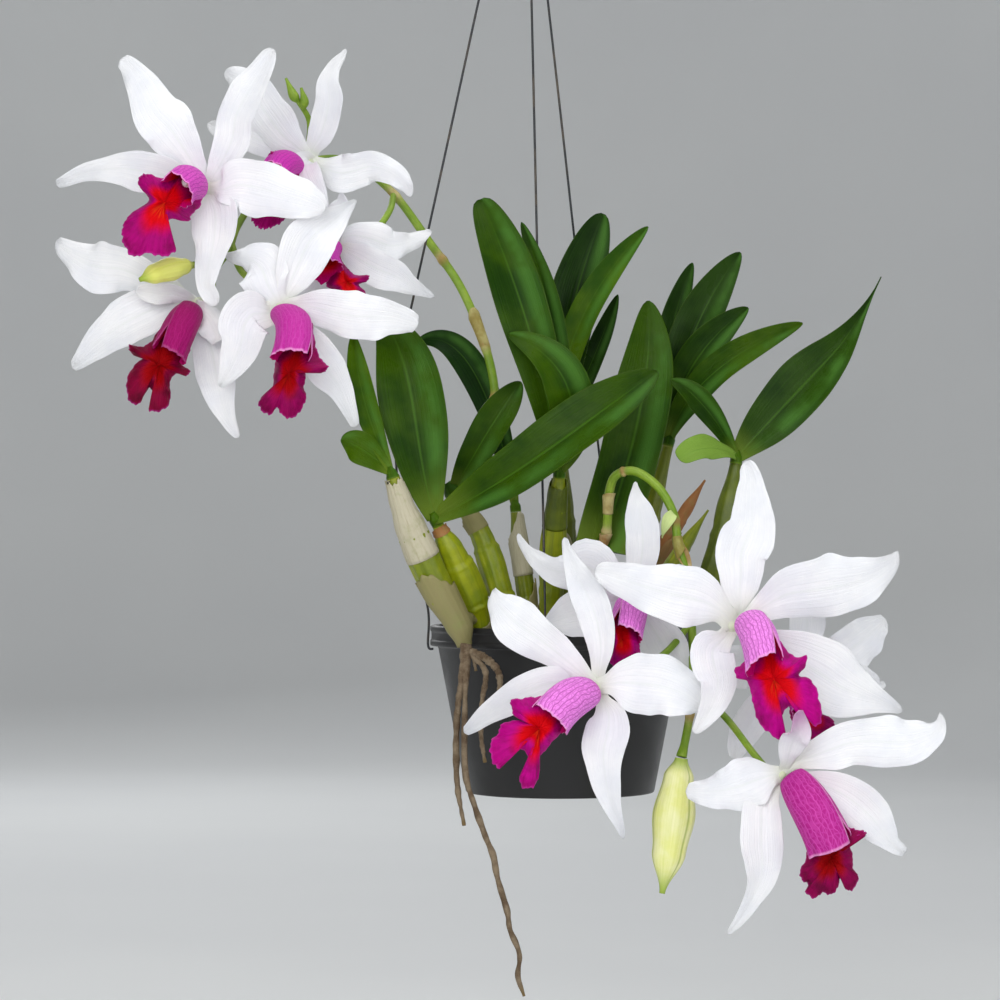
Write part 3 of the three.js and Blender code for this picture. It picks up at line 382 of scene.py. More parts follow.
def heading(points, t, step=5e-4):
    """The direction of the curve through the points at t."""
    return unit(curve(points, t + step) - curve(points, t - step))


def radius_at(points, t):
    """The radius at t, eased from the one of each point to the next one's."""
    along = np.clip(t, 0, 1) * (len(points) - 1)
    first = np.minimum(along.astype(int), len(points) - 2)
    blend = along - first
    blend = blend * blend * (3 - 2 * blend)
    return points[first, 3] * (1 - blend) + points[first + 1, 3] * blend


ASIDE = np.array([0.31, 0.87, 0.38])


def rod(points, rows, sides, swell=None, tone=0.0):
    """A circle carried along the curve through points of (x, y, z, radius). Its radius is
    radius_at(t) times swell(t, turn); each ring's start direction is the last one's, laid square
    to the curve, the first one's is ASIDE. tone is a number or a function tone(t, turn)."""
    points = np.asarray(points, float)
    t = np.linspace(0, 1, rows)
    middle = curve(points, t)
    tangent = heading(points, t)
    start = ASIDE
    fronts = []
    for direction in tangent:
        start = unit(start - direction * (start @ direction))
        fronts.append(start)
    front = np.array(fronts)[:, None]
    side = np.cross(tangent, front[:, 0])[:, None]
    turn = 2 * np.pi * np.arange(sides) / sides
    swollen = 1 if swell is None else swell(t[:, None], turn[None])
    wide = radius_at(points, t)[:, None] * swollen
    rings = middle[:, None] + front * (wide * np.cos(turn))[..., None] \
        + side * (wide * np.sin(turn))[..., None]
    shade = tone(t[:, None], turn[None]) if callable(tone) else tone
    return skin(rings, np.linspace(0, 1, sides + 1), t, shade)


dark_wire = Paint("dark_wire", 0.5, Metallic=0.85)
patches, grain = mottled(dark_wire, 90.0, 2600.0)
dark_wire.finish(coated((62, 64, 67), (faded(patches, 0.45, 0.7), (92, 84, 76))), grain, 0.04)


def vector(*values):
    """Numbers or other nodes' outputs as the parts of one vector."""
    return add("ShaderNodeCombineXYZ", dict(enumerate(values))).outputs[0]


steel = Paint("drawn_steel", 0.34, Metallic=1.0)
patches = mottled(steel, 70.0, 2000.0)[0]
drawn = add("ShaderNodeTexNoise", {
    "Vector": vector(sums("MULTIPLY", steel.across, 60.0), steel.along),
    "Scale": 3.0, "Detail": 3.0}).outputs["Fac"]
steel.finish(coated((142, 145, 149), (drawn, (186, 188, 190))), drawn, 0.05,
             faded(patches, 0.35, 0.75, 0.25, 0.5))


def rim_hook(degrees):
    """Where a wire runs down outside the rim band and turns in under it, at that angle."""
    turn = np.radians(degrees)
    clear = RIM_BAND_RADIUS + WIRE_RADIUS + 0.35
    places = [(clear, 6), (clear, -RIM_BAND_HEIGHT - 0.2),
              (clear - 0.6, -RIM_BAND_HEIGHT - 1.4), (clear - 2.2, -RIM_BAND_HEIGHT - 1.5)]
    return [(r * np.cos(turn), r * np.sin(turn), z) for r, z in places]


def from_ferrule(dx, dy, dz):
    """A point from the ferrule's foot."""
    return (FERRULE[0] + dx, FERRULE[1] + dy, FERRULE[2] + dz)


WIRES = {
    "left": [from_ferrule(-2.1, 0, 8), from_ferrule(-2.6, 0, -1), (-39, -1, 240),
             (-62.2, -2, 134.4), (-68.5, -2, 106), (-69.5, -2, 80), (-65.5, -1, 42),
             *rim_hook(181)],
    "front": [from_ferrule(1, -2, 8), from_ferrule(1, -2.8, -1), (-10.4, -27.5, 180),
              *rim_hook(262.8)],
    "back": [from_ferrule(1, 2, 8), from_ferrule(1.2, 2.8, -1), (4.8, 26, 180),
             *rim_hook(63.8)],
}
for name, route in WIRES.items():
    points = [(*p, WIRE_RADIUS) for p in route]
    piece(f"wire_{name}", [rod(points, rows=140, sides=12)], [dark_wire],
          f"hanger_wire_{name}")

ferrule_profile = [
    (0.01, 0), (FERRULE_RADIUS - 0.6, 0), (FERRULE_RADIUS, 0.6), (FERRULE_RADIUS, 3),
    (FERRULE_RADIUS - 0.6, 3.6), (FERRULE_RADIUS - 0.6, 4.6), (FERRULE_RADIUS, 5.2),
    (FERRULE_RADIUS, FERRULE_HEIGHT - 3), (HOOK_ROD_RADIUS + 1, FERRULE_HEIGHT),
    (0.01, FERRULE_HEIGHT)]
ferrule = turned(eased(np.array(ferrule_profile) + (0, FERRULE[2]), 0.4), 48, FERRULE[:2])
bend = np.pi * (1.0 - 0.125 * np.arange(11))
crook = [from_ferrule(0, 0, FERRULE_HEIGHT - 4), from_ferrule(0, 0, FERRULE_HEIGHT + 6),
         from_ferrule(-HOOK_BEND_RADIUS, 0, FERRULE_HEIGHT + 18)]
crook += [from_ferrule(HOOK_BEND_RADIUS * np.cos(a), 0, FERRULE_HEIGHT + HOOK_SHANK
                       + HOOK_BEND_RADIUS * np.sin(a)) for a in bend]
rounded_end = lambda t, turn: np.sqrt(np.clip((1.004 - t) / 0.02, 0.02, 1)) + 0 * turn
hook_rod = rod([(*p, HOOK_ROD_RADIUS) for p in crook], rows=180, sides=20, swell=rounded_end)
piece("hook_and_ferrule", [ferrule, hook_rod], [steel], "hanger_hook")

# The pseudobulbs: fleshy upright stems, ribbed and yellow-green to olive, on a creeping stem.
# Each is ringed by nodes and keeps rags of its dry sheath, khaki to silvery or brown. The oldest
# has grown over the rim.

BULBS = {
    "old": [(-39.6, -44.6, -7, 2.8), (-42, -45, 1.5, 5.2), (-50.2, -46.6, 15.8, 6.4),
            (-56.4, -49.5, 29, 6.6), (-61.4, -52, 41, 5.9), (-65.2, -53.6, 51, 4.3),
            (-68.6, -55, 61.5, 2.8)],
    "leftFront": [(-33.4, -29, -8, 3), (-34.4, -30, 2, 5), (-37, -33, 12, 7),
                  (-41.4, -37.2, 22, 7.4), (-45.8, -41.8, 32.5, 5.6), (-50.6, -46, 42.4, 2.5)],
    "leftBack": [(-18.6, -24, -8, 3), (-20.4, -24.2, 4, 4.2), (-25.4, -25, 15.5, 5.2),
                 (-29, -25, 27, 5.6), (-34, -25, 40, 4.4), (-42.4, -25, 52.4, 2.6)],
    "leftInner": [(-13.4, -12, -8, 2.6), (-14, -12, 10, 3.9), (-17, -12, 32, 3.6),
                  (-18.6, -12, 47.5, 2.3)],
    "middle": [(-4, -20, -8, 3), (-4.2, -20.4, 6, 4.6), (-3.4, -26, 32, 5.4),
               (-1.6, -35, 54, 3.8), (-1, -38, 62, 2.5)],
    "rear": [(3.4, 8, -8, 2.8), (3, 8, 8, 4.2), (1.6, 7, 42, 4.8), (0, 6, 77.5, 2.5)],
    "front": [(12.6, -28.6, -8, 3), (13.2, -29, 4, 4.8), (14.8, -29.6, 18, 4.6),
              (16, -30, 27.6, 2.8)],
    "rightRear": [(30, 15, -8, 2.6), (30.6, 15.2, 8, 4), (38, 17, 44, 4.4), (46, 18, 75.5, 2.5)],
    "rightBrown": [(33.2, 4.6, -8, 2.4), (34.6, 5, 8, 3.2), (44.3, 5, 33.5, 3.4),
                   (53, 5, 48, 2.6), (61.2, 5, 60.9, 0.5)],
    "rightGreen": [(33.6, -14, -8, 2.4), (36, -13, 8, 3.2), (51, -6.5, 32, 3),
                   (62, -5, 48.3, 0.5)],
    "right": [(41, -13, -8, 2.6), (43.5, -13.6, 2, 3.6), (58, -16, 13, 4.4), (65, -17, 27, 5.8),
              (70, -17, 48, 5.6), (72.8, -16, 67.5, 2.6)],
}
CREEPING_STEMS = {
    "left": [(-13.6, -12, 2, 2.2), (-19.2, -24, 2.2, 2.6), (-33.8, -29.4, 3, 2.8),
             (-38.4, -37.6, 4, 2.6), (-41.5, -42.6, 1.5, 2.8)],
    "middle": [(13, -28.8, 2, 2.2), (-4, -20.2, 2, 2.6), (3.2, 8, 2, 2.2)],
    "right": [(30.4, 15, 2, 2.2), (33.8, 4.7, 2, 2.4), (34.8, -13.4, 2, 2.4),
              (42.6, -13.4, 2, 2.4)],
}
BULB_NODES = {"old": (0.3, 0.62), "right": (0.36, 0.7)}
USUAL_NODES = (0.34, 0.68)
RIBS = 9
SHEATH_THICK = 0.22
# A bulb's tone runs from 0, yellow-green, to 0.4, dark olive; from 1 on it is dry: brown at 1,
# khaki at 1.5 and silvery at 2. Each sheath: its bulb, the shares of the bulb it starts and ends
# at, how far it stands off, its tone, and how far its end falls away on one side.
BULB_TONES = {"old": 0.15, "leftFront": 0.0, "leftBack": 0.08, "leftInner": 0.22, "middle": 0.14,
              "rear": 0.3, "front": 0.2, "rightRear": 0.25, "rightBrown": 1.05,
              "rightGreen": 0.1, "right": 0.34}
STEM_TONE = 1.6
SHEATHS = [
    ("old", 0.0, 0.43, 0.2, 1.55, 0.3), ("old", 0.5, 0.99, 0.25, 2.0, 0.05),
    ("leftFront", 0.0, 0.2, 0.25, 1.8, 0.4), ("leftFront", 0.93, 1.0, 0.3, 1.1, 0.7),
    ("leftBack", 0.0, 0.2, 0.25, 1.8, 0.5), ("leftBack", 0.8, 1.0, 0.2, 1.6, 0.75),
    ("leftInner", 0.0, 0.45, 0.3, 1.5, 0.5), ("leftInner", 0.5, 1.0, 0.3, 1.95, 0.6),
    ("middle", 0.0, 0.3, 0.25, 1.7, 0.5), ("middle", 0.6, 0.98, 0.25, 0.46, 0.3),
    ("rear", 0.0, 0.4, 0.25, 1.7, 0.5), ("rear", 0.5, 0.8, 0.25, 1.9, 0.7),
    ("front", 0.0, 0.4, 0.25, 1.6, 0.4), ("front", 0.78, 1.0, 0.35, 1.3, 0.3),
    ("rightRear", 0.0, 0.45, 0.25, 1.6, 0.5), ("rightBrown", 0.0, 0.6, 0.3, 1.2, 0.4),
    ("rightGreen", 0.0, 0.2, 0.3, 1.3, 0.4), ("right", 0.0, 0.24, 0.3, 1.5, 0.4),
]

pseudobulb = Paint("pseudobulb_and_sheath", 0.5, Specular_IOR_Level=0.4)
across, along, tone = pseudobulb.across, pseudobulb.along, pseudobulb.tone
patches, grain = mottled(pseudobulb, 120.0, 1500.0)
streaks = add("ShaderNodeTexNoise", {
    "Vector": vector(sums("MULTIPLY", across, 44.0), sums("MULTIPLY", along, 3.0), tone),
    "Scale": 1.0, "Detail": 4.0, "Roughness": 0.65}).outputs["Fac"]
ridge = sums("SINE", sums("MULTIPLY", across, 2 * np.pi * RIBS))
dappled = faded(patches, 0.35, 0.7)
olive = coated((92, 104, 18), (dappled, (70, 84, 14)))
green = coated((152, 160, 14), (dappled, (124, 140, 12)), (faded(tone, 0.0, 0.4), olive),
               (faded(ridge, -0.9, 0.9, 0.22, 0.0), (66, 84, 8)),
               (faded(streaks, 0.5, 0.75, 0.0, 0.45), (76, 94, 16)))
dry = coated((158, 100, 50), (faded(tone, 1.0, 1.5), (138, 132, 86)),
             (faded(tone, 1.6, 2.0), (186, 180, 156)),
             (faded(streaks, 0.45, 0.75, 0.0, 0.4), (138, 122, 92)),
             (faded(patches, 0.52, 0.75, 0.0, 0.6), (130, 136, 76)))
pseudobulb.finish(coated(green, (faded(tone, 0.45, 0.75), dry)),
                  sums("MULTIPLY_ADD", streaks, 1.0, grain), 0.14,
                  faded(tone, 0.4, 0.8, 0.36, 0.62))


def ribbed(nodes):
    """Fleshy ribs that fade to both ends, and a narrow ridge with a groove above each node."""
    def swell(t, turn):
        ribs = 1 + 0.035 * np.cos(RIBS * turn) * np.sin(np.pi * t) \
            + 0.02 * np.cos(2 * turn + 5 * t)
        for node in nodes:
            ribs = ribs + 0.07 * np.exp(-((t - node) / 0.012) ** 2) \
                - 0.06 * np.exp(-((t - node - 0.03) / 0.018) ** 2)
        return ribs
    return swell


def sleeve(points, t, turn, off, thick, tone):
    """A thin tube along the curve through points, open at its upper end. For each row and turn
    it takes the place t on the curve and how far off its outside stands; its inside lies thick
    within that."""
    rows, sides = t.shape
    middle, tangent = (found(points, t.ravel()).reshape(rows, sides, 3)
                       for found in (curve, heading))
    front = unit(ASIDE - tangent * (tangent @ ASIDE)[..., None])
    side = np.cross(tangent, front)
    radial = front * np.cos(turn)[..., None] + side * np.sin(turn)[..., None]
    outer, inner = (middle + radial * radius[..., None] for radius in (off, off - thick))
    u = np.linspace(0, 1, rows)
    return skin(np.concatenate([inner[:1], outer, inner[::-1]]), np.linspace(0, 1, sides + 1),
                np.concatenate([[0], u, u[::-1]]), tone)


def sheath(bulb, start, end, stand_off, shade, lean):
    """A pleated dry sleeve round a stretch of its bulb, torn into points above: its edge sinks
    and rises with the turn, and it stands further off towards it."""
    rows, sides = 26, 44
    points = np.asarray(BULBS[bulb], float)
    u = np.linspace(0, 1, rows)[:, None]
    turn = 2 * np.pi * np.arange(sides)[None] / sides
    phase = 3.1 * start + 1.7 * len(bulb)
    torn = 0.5 * lean * (np.cos(turn + 1.4 + 0.4 * phase) - 1) \
        + 0.04 * np.sin(3 * turn + 2 * phase) + 0.02 * np.sin(11 * turn + phase)
    t = start + (end - start) * u * (1 + torn)
    pleats = 0.18 * np.sin(17 * turn + phase) + 0.12 * np.sin(29 * turn + 3 * u)
    off = radius_at(points, t) * 1.03 + stand_off + 0.5 * u ** 3 + pleats * (0.4 + 0.6 * u)
    return sleeve(points, t, turn, off, SHEATH_THICK, shade)


def bulb_piece(name, bulbs, stems, node):
    """The bulbs of one stretch of creeping stem, with that stem and their sheaths."""
    skins = [rod(BULBS[b], rows=70, sides=54, swell=ribbed(BULB_NODES.get(b, USUAL_NODES)),
                 tone=BULB_TONES[b]) for b in bulbs]
    ringed = lambda t, turn: 1 + 0.08 * np.sin(60 * t) + 0.03 * np.sin(5 * turn)
    skins += [rod(CREEPING_STEMS[s], rows=60, sides=24, swell=ringed, tone=STEM_TONE)
              for s in stems]
    skins += [sheath(*row) for row in SHEATHS if row[0] in bulbs]
    piece(name, skins, [pseudobulb], node)


bulb_piece("old_bulb_in_sheath", ["old"], [], "old_pseudobulb")
bulb_piece("left_bulbs", ["leftFront", "leftBack", "leftInner"], ["left"], "left_pseudobulbs")
bulb_piece("middle_bulbs", ["middle", "rear", "front"], ["middle"], "middle_pseudobulbs")
bulb_piece("right_bulbs", ["rightRear", "rightBrown", "rightGreen", "right"], ["right"],
           "right_pseudobulbs")

# The leaves: leathery straps that rise from a collar on the neck of each pseudobulb, folded along
# a pale midrib, satin above and paler below, with a painted sheen, a paler green in patches, on
# one half of each. Those of the oldest and the rear growth are a lighter, yellower green.

LEAF = {"rows": 64, "cols": 17, "widest": 0.5, "neck": 0.24, "sharp": 0.56, "cup": 0.05,
        "fold": 0.34, "wave": 1.5, "waves": 1.4, "phase": 0.6, "thick": 1.1,
        "face": (0, -1, 0.25), "frill": 0.12}
COLLAR_GAP = 0.06
COLLAR_TONE = 0.7


def outline(t, b):
    """Half width as a share of the widest: it swells by a sine from the neck to the widest place
    and closes to the tip by a cosine raised to sharp. The higher that is, the longer the tip."""
    swell = b["neck"] + (1 - b["neck"]) * np.sin(np.pi / 2 * np.minimum(t / b["widest"], 1))
    close = np.cos(np.pi / 2 * np.clip((t - b["widest"]) / (1 - b["widest"]), 0, 1))
    return np.where(t < b["widest"], swell, np.maximum(close, 0) ** b["sharp"])


def two_faced(middle, thin, place, along, tone, outward=None, **kind):
    """A thin sheet over a grid of points: each face stands off by thin, the upper one to where
    outward points, if that is given. Its UV runs across from 0 to 1 above and on to 2 below."""
    out = unit(np.cross(np.gradient(middle, axis=1), np.gradient(middle, axis=0)))
    if outward is not None and (out * outward).sum() < 0:
        out = -out
    off = out * thin[..., None]
    rings = np.concatenate([middle + off, (middle - off)[:, ::-1]], axis=1)
    return skin(rings, np.concatenate([place, 2 - place[::-1], [2.0]]), along, tone, **kind)


def spread(b, t, centre, tangent, half, face, tone):
    """Both faces of a leaf, sepal or petal over its centre line. Its face turns by
    roll + twist t about that line. Across it, at s from -1 to 1, it lifts by
    half (cup ss + fold |s|), by a wave along each edge and by a finer frill. Its edges are a
    little uneven, and it thins to them and to its tip."""
    s = np.sin(np.pi / 2 * np.linspace(-1, 1, b["cols"]))[None]
    side = unit(np.cross(tangent, face))
    normal = np.cross(side, tangent)
    turn = np.radians(b["roll"] + b["twist"] * t)[:, None]
    side, normal = (v * np.cos(turn) + np.cross(tangent, v) * np.sin(turn)
                    for v in (side, normal))
    t = t[:, None]
    phase = b["phase"] + 2.1 * (s > 0)
    fade = np.sin(np.pi * np.minimum(t, 1)) ** 0.7
    swing = np.sin(2 * np.pi * b["waves"] * t + phase) * fade
    frill = np.sin(2 * np.pi * 3.1 * b["waves"] * t + 1.7 * phase) * fade
    crease = np.sqrt(s * s + 0.006) - 0.077
    lift = half * (b["cup"] * s * s + b["fold"] * crease) + b["wave"] * s * s * swing \
        + b["frill"] * np.abs(s) ** 3 * frill
    edge = 1 + s * s * (b["uneven"] * np.sin(11 * t + 2 * phase)
                        + b["ragged"] * np.sin(31 * t + phase) * fade)
    middle = centre[:, None] + side[:, None] * (half * s * edge)[..., None] \
        + normal[:, None] * lift[..., None]
    thin = b["thick"] / 2 * (1 - 0.75 * s ** 4) * (1 - 0.55 * t ** 8)
    return two_faced(middle, thin, (s[0] + 1) / 2, t[:, 0], tone)


def blade(b, tone=0.0):
    """A leaf or bract. Its centre line is a chord plus 4t(1-t) bow + 6.75 tt(1-t) bend, less
    tt hook, which its last third takes back, so that the tip bends to where hook points."""
    b = {"bow": (0, 0, 0), "bend": (0, 0, 0), "hook": (0, 0, 0), "twist": 0.0, "roll": 0.0,
         "ragged": 0.0, "uneven": 0.03, **b}
    base, tip, bow, bend, hook, face = (
        np.array(b[key], float) for key in ("base", "tip", "bow", "bend", "hook", "face"))
    t = np.linspace(0, 0.998, b["rows"])
    t = t * (1.25 - 0.25 * t)

    def centre(u):
        u = u[:, None]
        return base + (tip - base) * u + 4 * u * (1 - u) * bow + 6.75 * u * u * (1 - u) * bend \
            + hook * (np.clip((u - 0.68) / 0.32, 0, 1) ** 2 - u * u)

    tangent = unit(centre(t + 1e-3) - centre(t - 1e-3))
    half = np.maximum(b["width"] / 2 * outline(t[:, None], b), 0.25)
    return spread(b, t, centre(t), tangent, half, face, tone)


def leaf_set(bulb, collar, leaves):
    """The leaves of one pseudobulb, with the collar that they rise from."""
    below, neck = (np.array(p[:3]) for p in BULBS[bulb][-2:])
    up = unit(neck - below)
    at = lambda reach: neck + up * (COLLAR_GAP + reach)
    skins = [rod([(*at(0), BULBS[bulb][-1][3]), (*at(collar), collar),
                  (*at(2.2 * collar), 0.5 * collar)], rows=24, sides=24, tone=COLLAR_TONE)]
    return skins + [blade({**LEAF, "base": at(collar), **leaf}, leaf["tone"]) for leaf in leaves]


# Each growth's leaves: their node, bulb and collar's radius, and what sets each apart from LEAF.
# A leaf's tone runs from 0, the darkest green, to 1, the yellowest, and above that it is pale.
LEAVES = {
    "old": ("old_growth_leaves", "old", 2.2, [
        {"tip": (-84.8, -53, 120.3), "width": 10, "bow": (-3, 0, 0), "fold": 0.5, "tone": 0.75},
        {"tip": (-89.6, -60, 76.5), "width": 13, "bow": (-2, 0, 3), "fold": 0.3, "tone": 0.65}]),
    "left_front": ("left_front_leaves", "leftFront", 2.6, [
        {"tip": (38.6, -57, 104.6), "width": 24.5, "bow": (4, -12, -1.5), "bend": (0, -2, 2),
         "roll": -14, "wave": 1.3, "tone": 0.35},
        {"tip": (-74, -40, 128), "width": 27, "bow": (-2, -3, 4), "bend": (5, 0, 0),
         "tone": 0.4}]),
    "left_back": ("left_back_leaf", "leftBack", 3.9, [
        {"tip": (-16.5, -32, 101.2), "width": 15, "bow": (1, -3, 3), "tone": 0.4}]),
    "left_inner": ("left_inner_leaf", "leftInner", 2.3, [
        {"tip": (-60.5, 12, 119), "width": 13, "bow": (5, 4, 14), "bend": (0, 0, 6),
         "tone": 0.0}]),
    "middle": ("middle_leaves", "middle", 2.6, [
        {"tip": (-33.2, -36, 176), "width": 20.5, "bow": (4, -13.5, 0), "widest": 0.62,
         "sharp": 0.36, "tone": 0.35},
        {"tip": (-21.9, -58, 119.7), "width": 18.5, "bow": (12, -9, 0), "bend": (3, 0, 3),
         "tone": 0.5},
        {"tip": (-16.4, -31, 167), "width": 11, "bow": (6, -11.5, 0), "tone": 0.3}]),
    "rear": ("rear_leaves", "rear", 2.6, [
        {"tip": (18.7, 17, 174.1), "width": 21, "bow": (-5, 1, 0), "widest": 0.6, "sharp": 0.45,
         "tone": 0.1},
        {"tip": (37.4, 8, 168), "width": 12.5, "bow": (-11, -2, 3), "bend": (1, 0, 0),
         "fold": 0.35, "tone": 0.9},
        {"tip": (24.9, 18, 139.8), "width": 9, "bow": (1, 8, 0), "tone": 0.1}]),
    "front": ("front_leaf", "front", 4.2, [
        {"tip": (36.5, -12, 135.7), "width": 25, "bow": (3, 2, 0), "bend": (2.5, 0, 0),
         "neck": 0.85, "tone": 0.35}]),
    "right_rear": ("right_rear_leaves", "rightRear", 2.6, [
        {"tip": (77.3, 22, 158), "width": 19, "bow": (-6, 2, 2), "tone": 0.15},
        {"tip": (57.4, 33, 154.3), "width": 12.5, "bow": (-5, 4, 0), "tone": 0.1},
        {"tip": (79.6, 6, 133.6), "width": 16, "bow": (-7, -2, 3), "tone": 0.25},
        {"tip": (102.1, 0, 126.8), "width": 13.5, "bow": (-10, -4, 3), "tone": 0.55}]),
    "right": ("right_leaves", "right", 2.6, [
        {"tip": (134.2, -8, 146), "width": 23.5, "bow": (-4, -3, -6), "bend": (-2, 0, -3),
         "sharp": 1.8, "hook": (-5, 0, 5), "tone": 0.2},
        {"tip": (45.1, -26, 102.1), "width": 10, "bow": (0, -4, 5), "fold": 0.4, "tone": 0.3},
        {"tip": (48.3, -38, 69), "width": 11.5, "bow": (0, -3, 4), "fold": 0.3, "roll": 12,
         "widest": 0.7, "sharp": 0.22, "tone": 1.5}]),
}

# Veins: fine lines that run along a blade, each wandering a little, from its own UV.
veins, given, result = group("lengthwise_veins", {"Across": 0.0, "Along": 0.0, "Count": 30.0,
                                                  "Length": 2.0, "Seed": 0.0}, ["Line"])
spread_uv = vector(sums("MULTIPLY", given["Across"], given["Count"]),
                   sums("MULTIPLY", given["Along"], given["Length"]),
                   sums("MULTIPLY", given["Seed"], 7.0))
noise = add("ShaderNodeTexNoise", {"Vector": spread_uv, "Scale": 1.0, "Detail": 3.0,
                                   "Roughness": 0.55})
veins.links.new(faded(noise.outputs["Fac"], 0.35, 0.65), result["Line"])


def veined(paint, count, length):
    """The veins group in a material: that many lines across, and that many waves along."""
    values = {"Across": paint.across, "Along": paint.along, "Seed": paint.tone, "Count": count,
              "Length": length}
    return add("ShaderNodeGroup", values, node_tree=veins).outputs[0]


def from_middle(paint):
    """How far across a blade a place is: 0 at the midrib, 1 at either edge, on both faces."""
    folded = sums("PINGPONG", paint.across, 1.0)
    return sums("ABSOLUTE", sums("MULTIPLY_ADD", folded, 2.0, -1.0))


leaf = Paint("orchid_leaf", 0.36, Specular_IOR_Level=0.09)
patches, grain = mottled(leaf, 45.0, 1800.0)
lines = veined(leaf, 46.0, 1.2)
middle = from_middle(leaf)
deeper = coated((2, 24, 0), (leaf.tone, (36, 72, 1)))
# Painted sheen: a paler green in patches over one half of each leaf, on both faces, fading towards
# its edge, standing in for the light that half catches.
painted_sheen = sums("MULTIPLY", faded(sums("PINGPONG", leaf.across, 1.0), 0.52, 0.78),
           sums("MULTIPLY", faded(middle, 0.6, 1.0, 1.0, 0.2),
                faded(patches, 0.36, 0.6, 0.08, 0.45)))
rib = sums("MULTIPLY", faded(middle, 0.0, 0.07, 0.4, 0.0),
           faded(leaf.along, 0.6, 1.0, 1.0, 0.15))
below = sums("GREATER_THAN", leaf.across, 1.0)
green = coated((5, 40, 0), (leaf.tone, (76, 106, 1)), (faded(patches, 0.35, 0.7), deeper),
               (sums("MULTIPLY", lines, 0.12), (56, 100, 8)),
               (faded(leaf.along, 0.0, 0.2, 0.55, 0.0), (116, 138, 46)),
               (painted_sheen, (86, 138, 54)), (faded(leaf.tone, 1.0, 1.6), (122, 156, 62)),
               (rib, (72, 116, 28)), (faded(middle, 0.93, 1.0, 0.0, 0.2), (80, 106, 26)),
               (sums("MULTIPLY", below, 0.25), (70, 104, 28)))
leaf.finish(green, sums("MULTIPLY_ADD", lines, 0.7, grain), 0.1,
            faded(patches, 0.3, 0.75, 0.26, 0.42))

for name, (node, bulb, collar, leaves) in LEAVES.items():
    piece(f"leaves_{name}", leaf_set(bulb, collar, leaves), [leaf], node)

# The aerial roots: a bunch from the creeping stem's overhanging end, a spongy grey-tan coat over
# a wiry core, kinked where they have dried, the longest hanging well below the pot.

ROOTS = [
    [(-39, -49.5, -6, 2.4), (-41.1, -51, -22.4, 1.6), (-42.7, -51, -36, 1.5),
     (-42.6, -50, -63, 1.4), (-39.8, -50, -80, 0.9)],
    [(-38.6, -49.5, -7, 2.2), (-39.4, -52, -28.9, 1.5), (-39, -53, -60, 1.5),
     (-35.4, -53, -72, 1.4), (-31.7, -53, -82.6, 1.4), (-28, -53, -92, 1.4),
     (-26, -53, -102, 1.4), (-22.4, -53, -114, 1.4), (-21.1, -53, -122, 1.4),
     (-17.3, -53, -132, 1.3), (-17.9, -53, -141, 1.3), (-15.4, -53, -149, 0.8)],
    [(-38.6, -49.8, -8.6, 1.8), (-31.5, -54, -11.5, 1.8), (-26, -55.5, -17, 1.7),
     (-25.2, -56, -29, 1.2)],
    [(-37.6, -50.5, -9.4, 1.4), (-31.2, -54, -17, 1.3), (-32.4, -55, -29, 1.2),
     (-32.9, -54.5, -43, 1.1), (-31.3, -54, -54, 0.8)],
    [(-39.4, -50, -7, 1.6), (-36.4, -50.6, -10, 1.1), (-35, -50, -17, 0.7)],
]
ROOT_ROWS = 34
ROOT_SIDES = 16

root_coat = Paint("root_coat", 0.88)
patches, grain = mottled(root_coat, 170.0, 2400.0)
tan = coated((132, 116, 94), (faded(patches, 0.35, 0.65), (90, 72, 52)),
             (faded(grain, 0.55, 0.75, 0.0, 0.6), (164, 152, 130)),
             (faded(root_coat.along, 0.93, 1.0, 0.0, 0.9), (112, 92, 52)))
root_coat.finish(tan, sums("MULTIPLY_ADD", patches, 1.0, grain), 0.4)


def kinked(seed):
    """A root's uneven thickness: three waves along it and a slight flattening."""
    def swell(t, turn):
        return 0.86 + 0.09 * np.sin(41 * t + seed) + 0.07 * np.sin(97 * t + 2 * seed) \
            + 0.06 * np.sin(2 * turn + 9 * t + seed) + 0.04 * np.sin(5 * turn + 60 * t)
    return swell


roots = [rod(points, ROOT_ROWS * len(points), ROOT_SIDES, kinked(1.3 * n))
         for n, points in enumerate(ROOTS)]
piece("aerial_root_bunch", roots, [root_coat], "aerial_roots")

# The blooms' frame, which the stalks are drawn to: where each hub sits, the way its bloom faces,
# its five white sepals and petals, and its lip. They are grown, so each one has its own form.

HUB_RADIUS = 3.4
OVARY_LENGTH = 8.0
OVARY_GAP = 0.35
LIP_TUBE_RADIUS = 8.0
LIP_WIDTH = 23.0

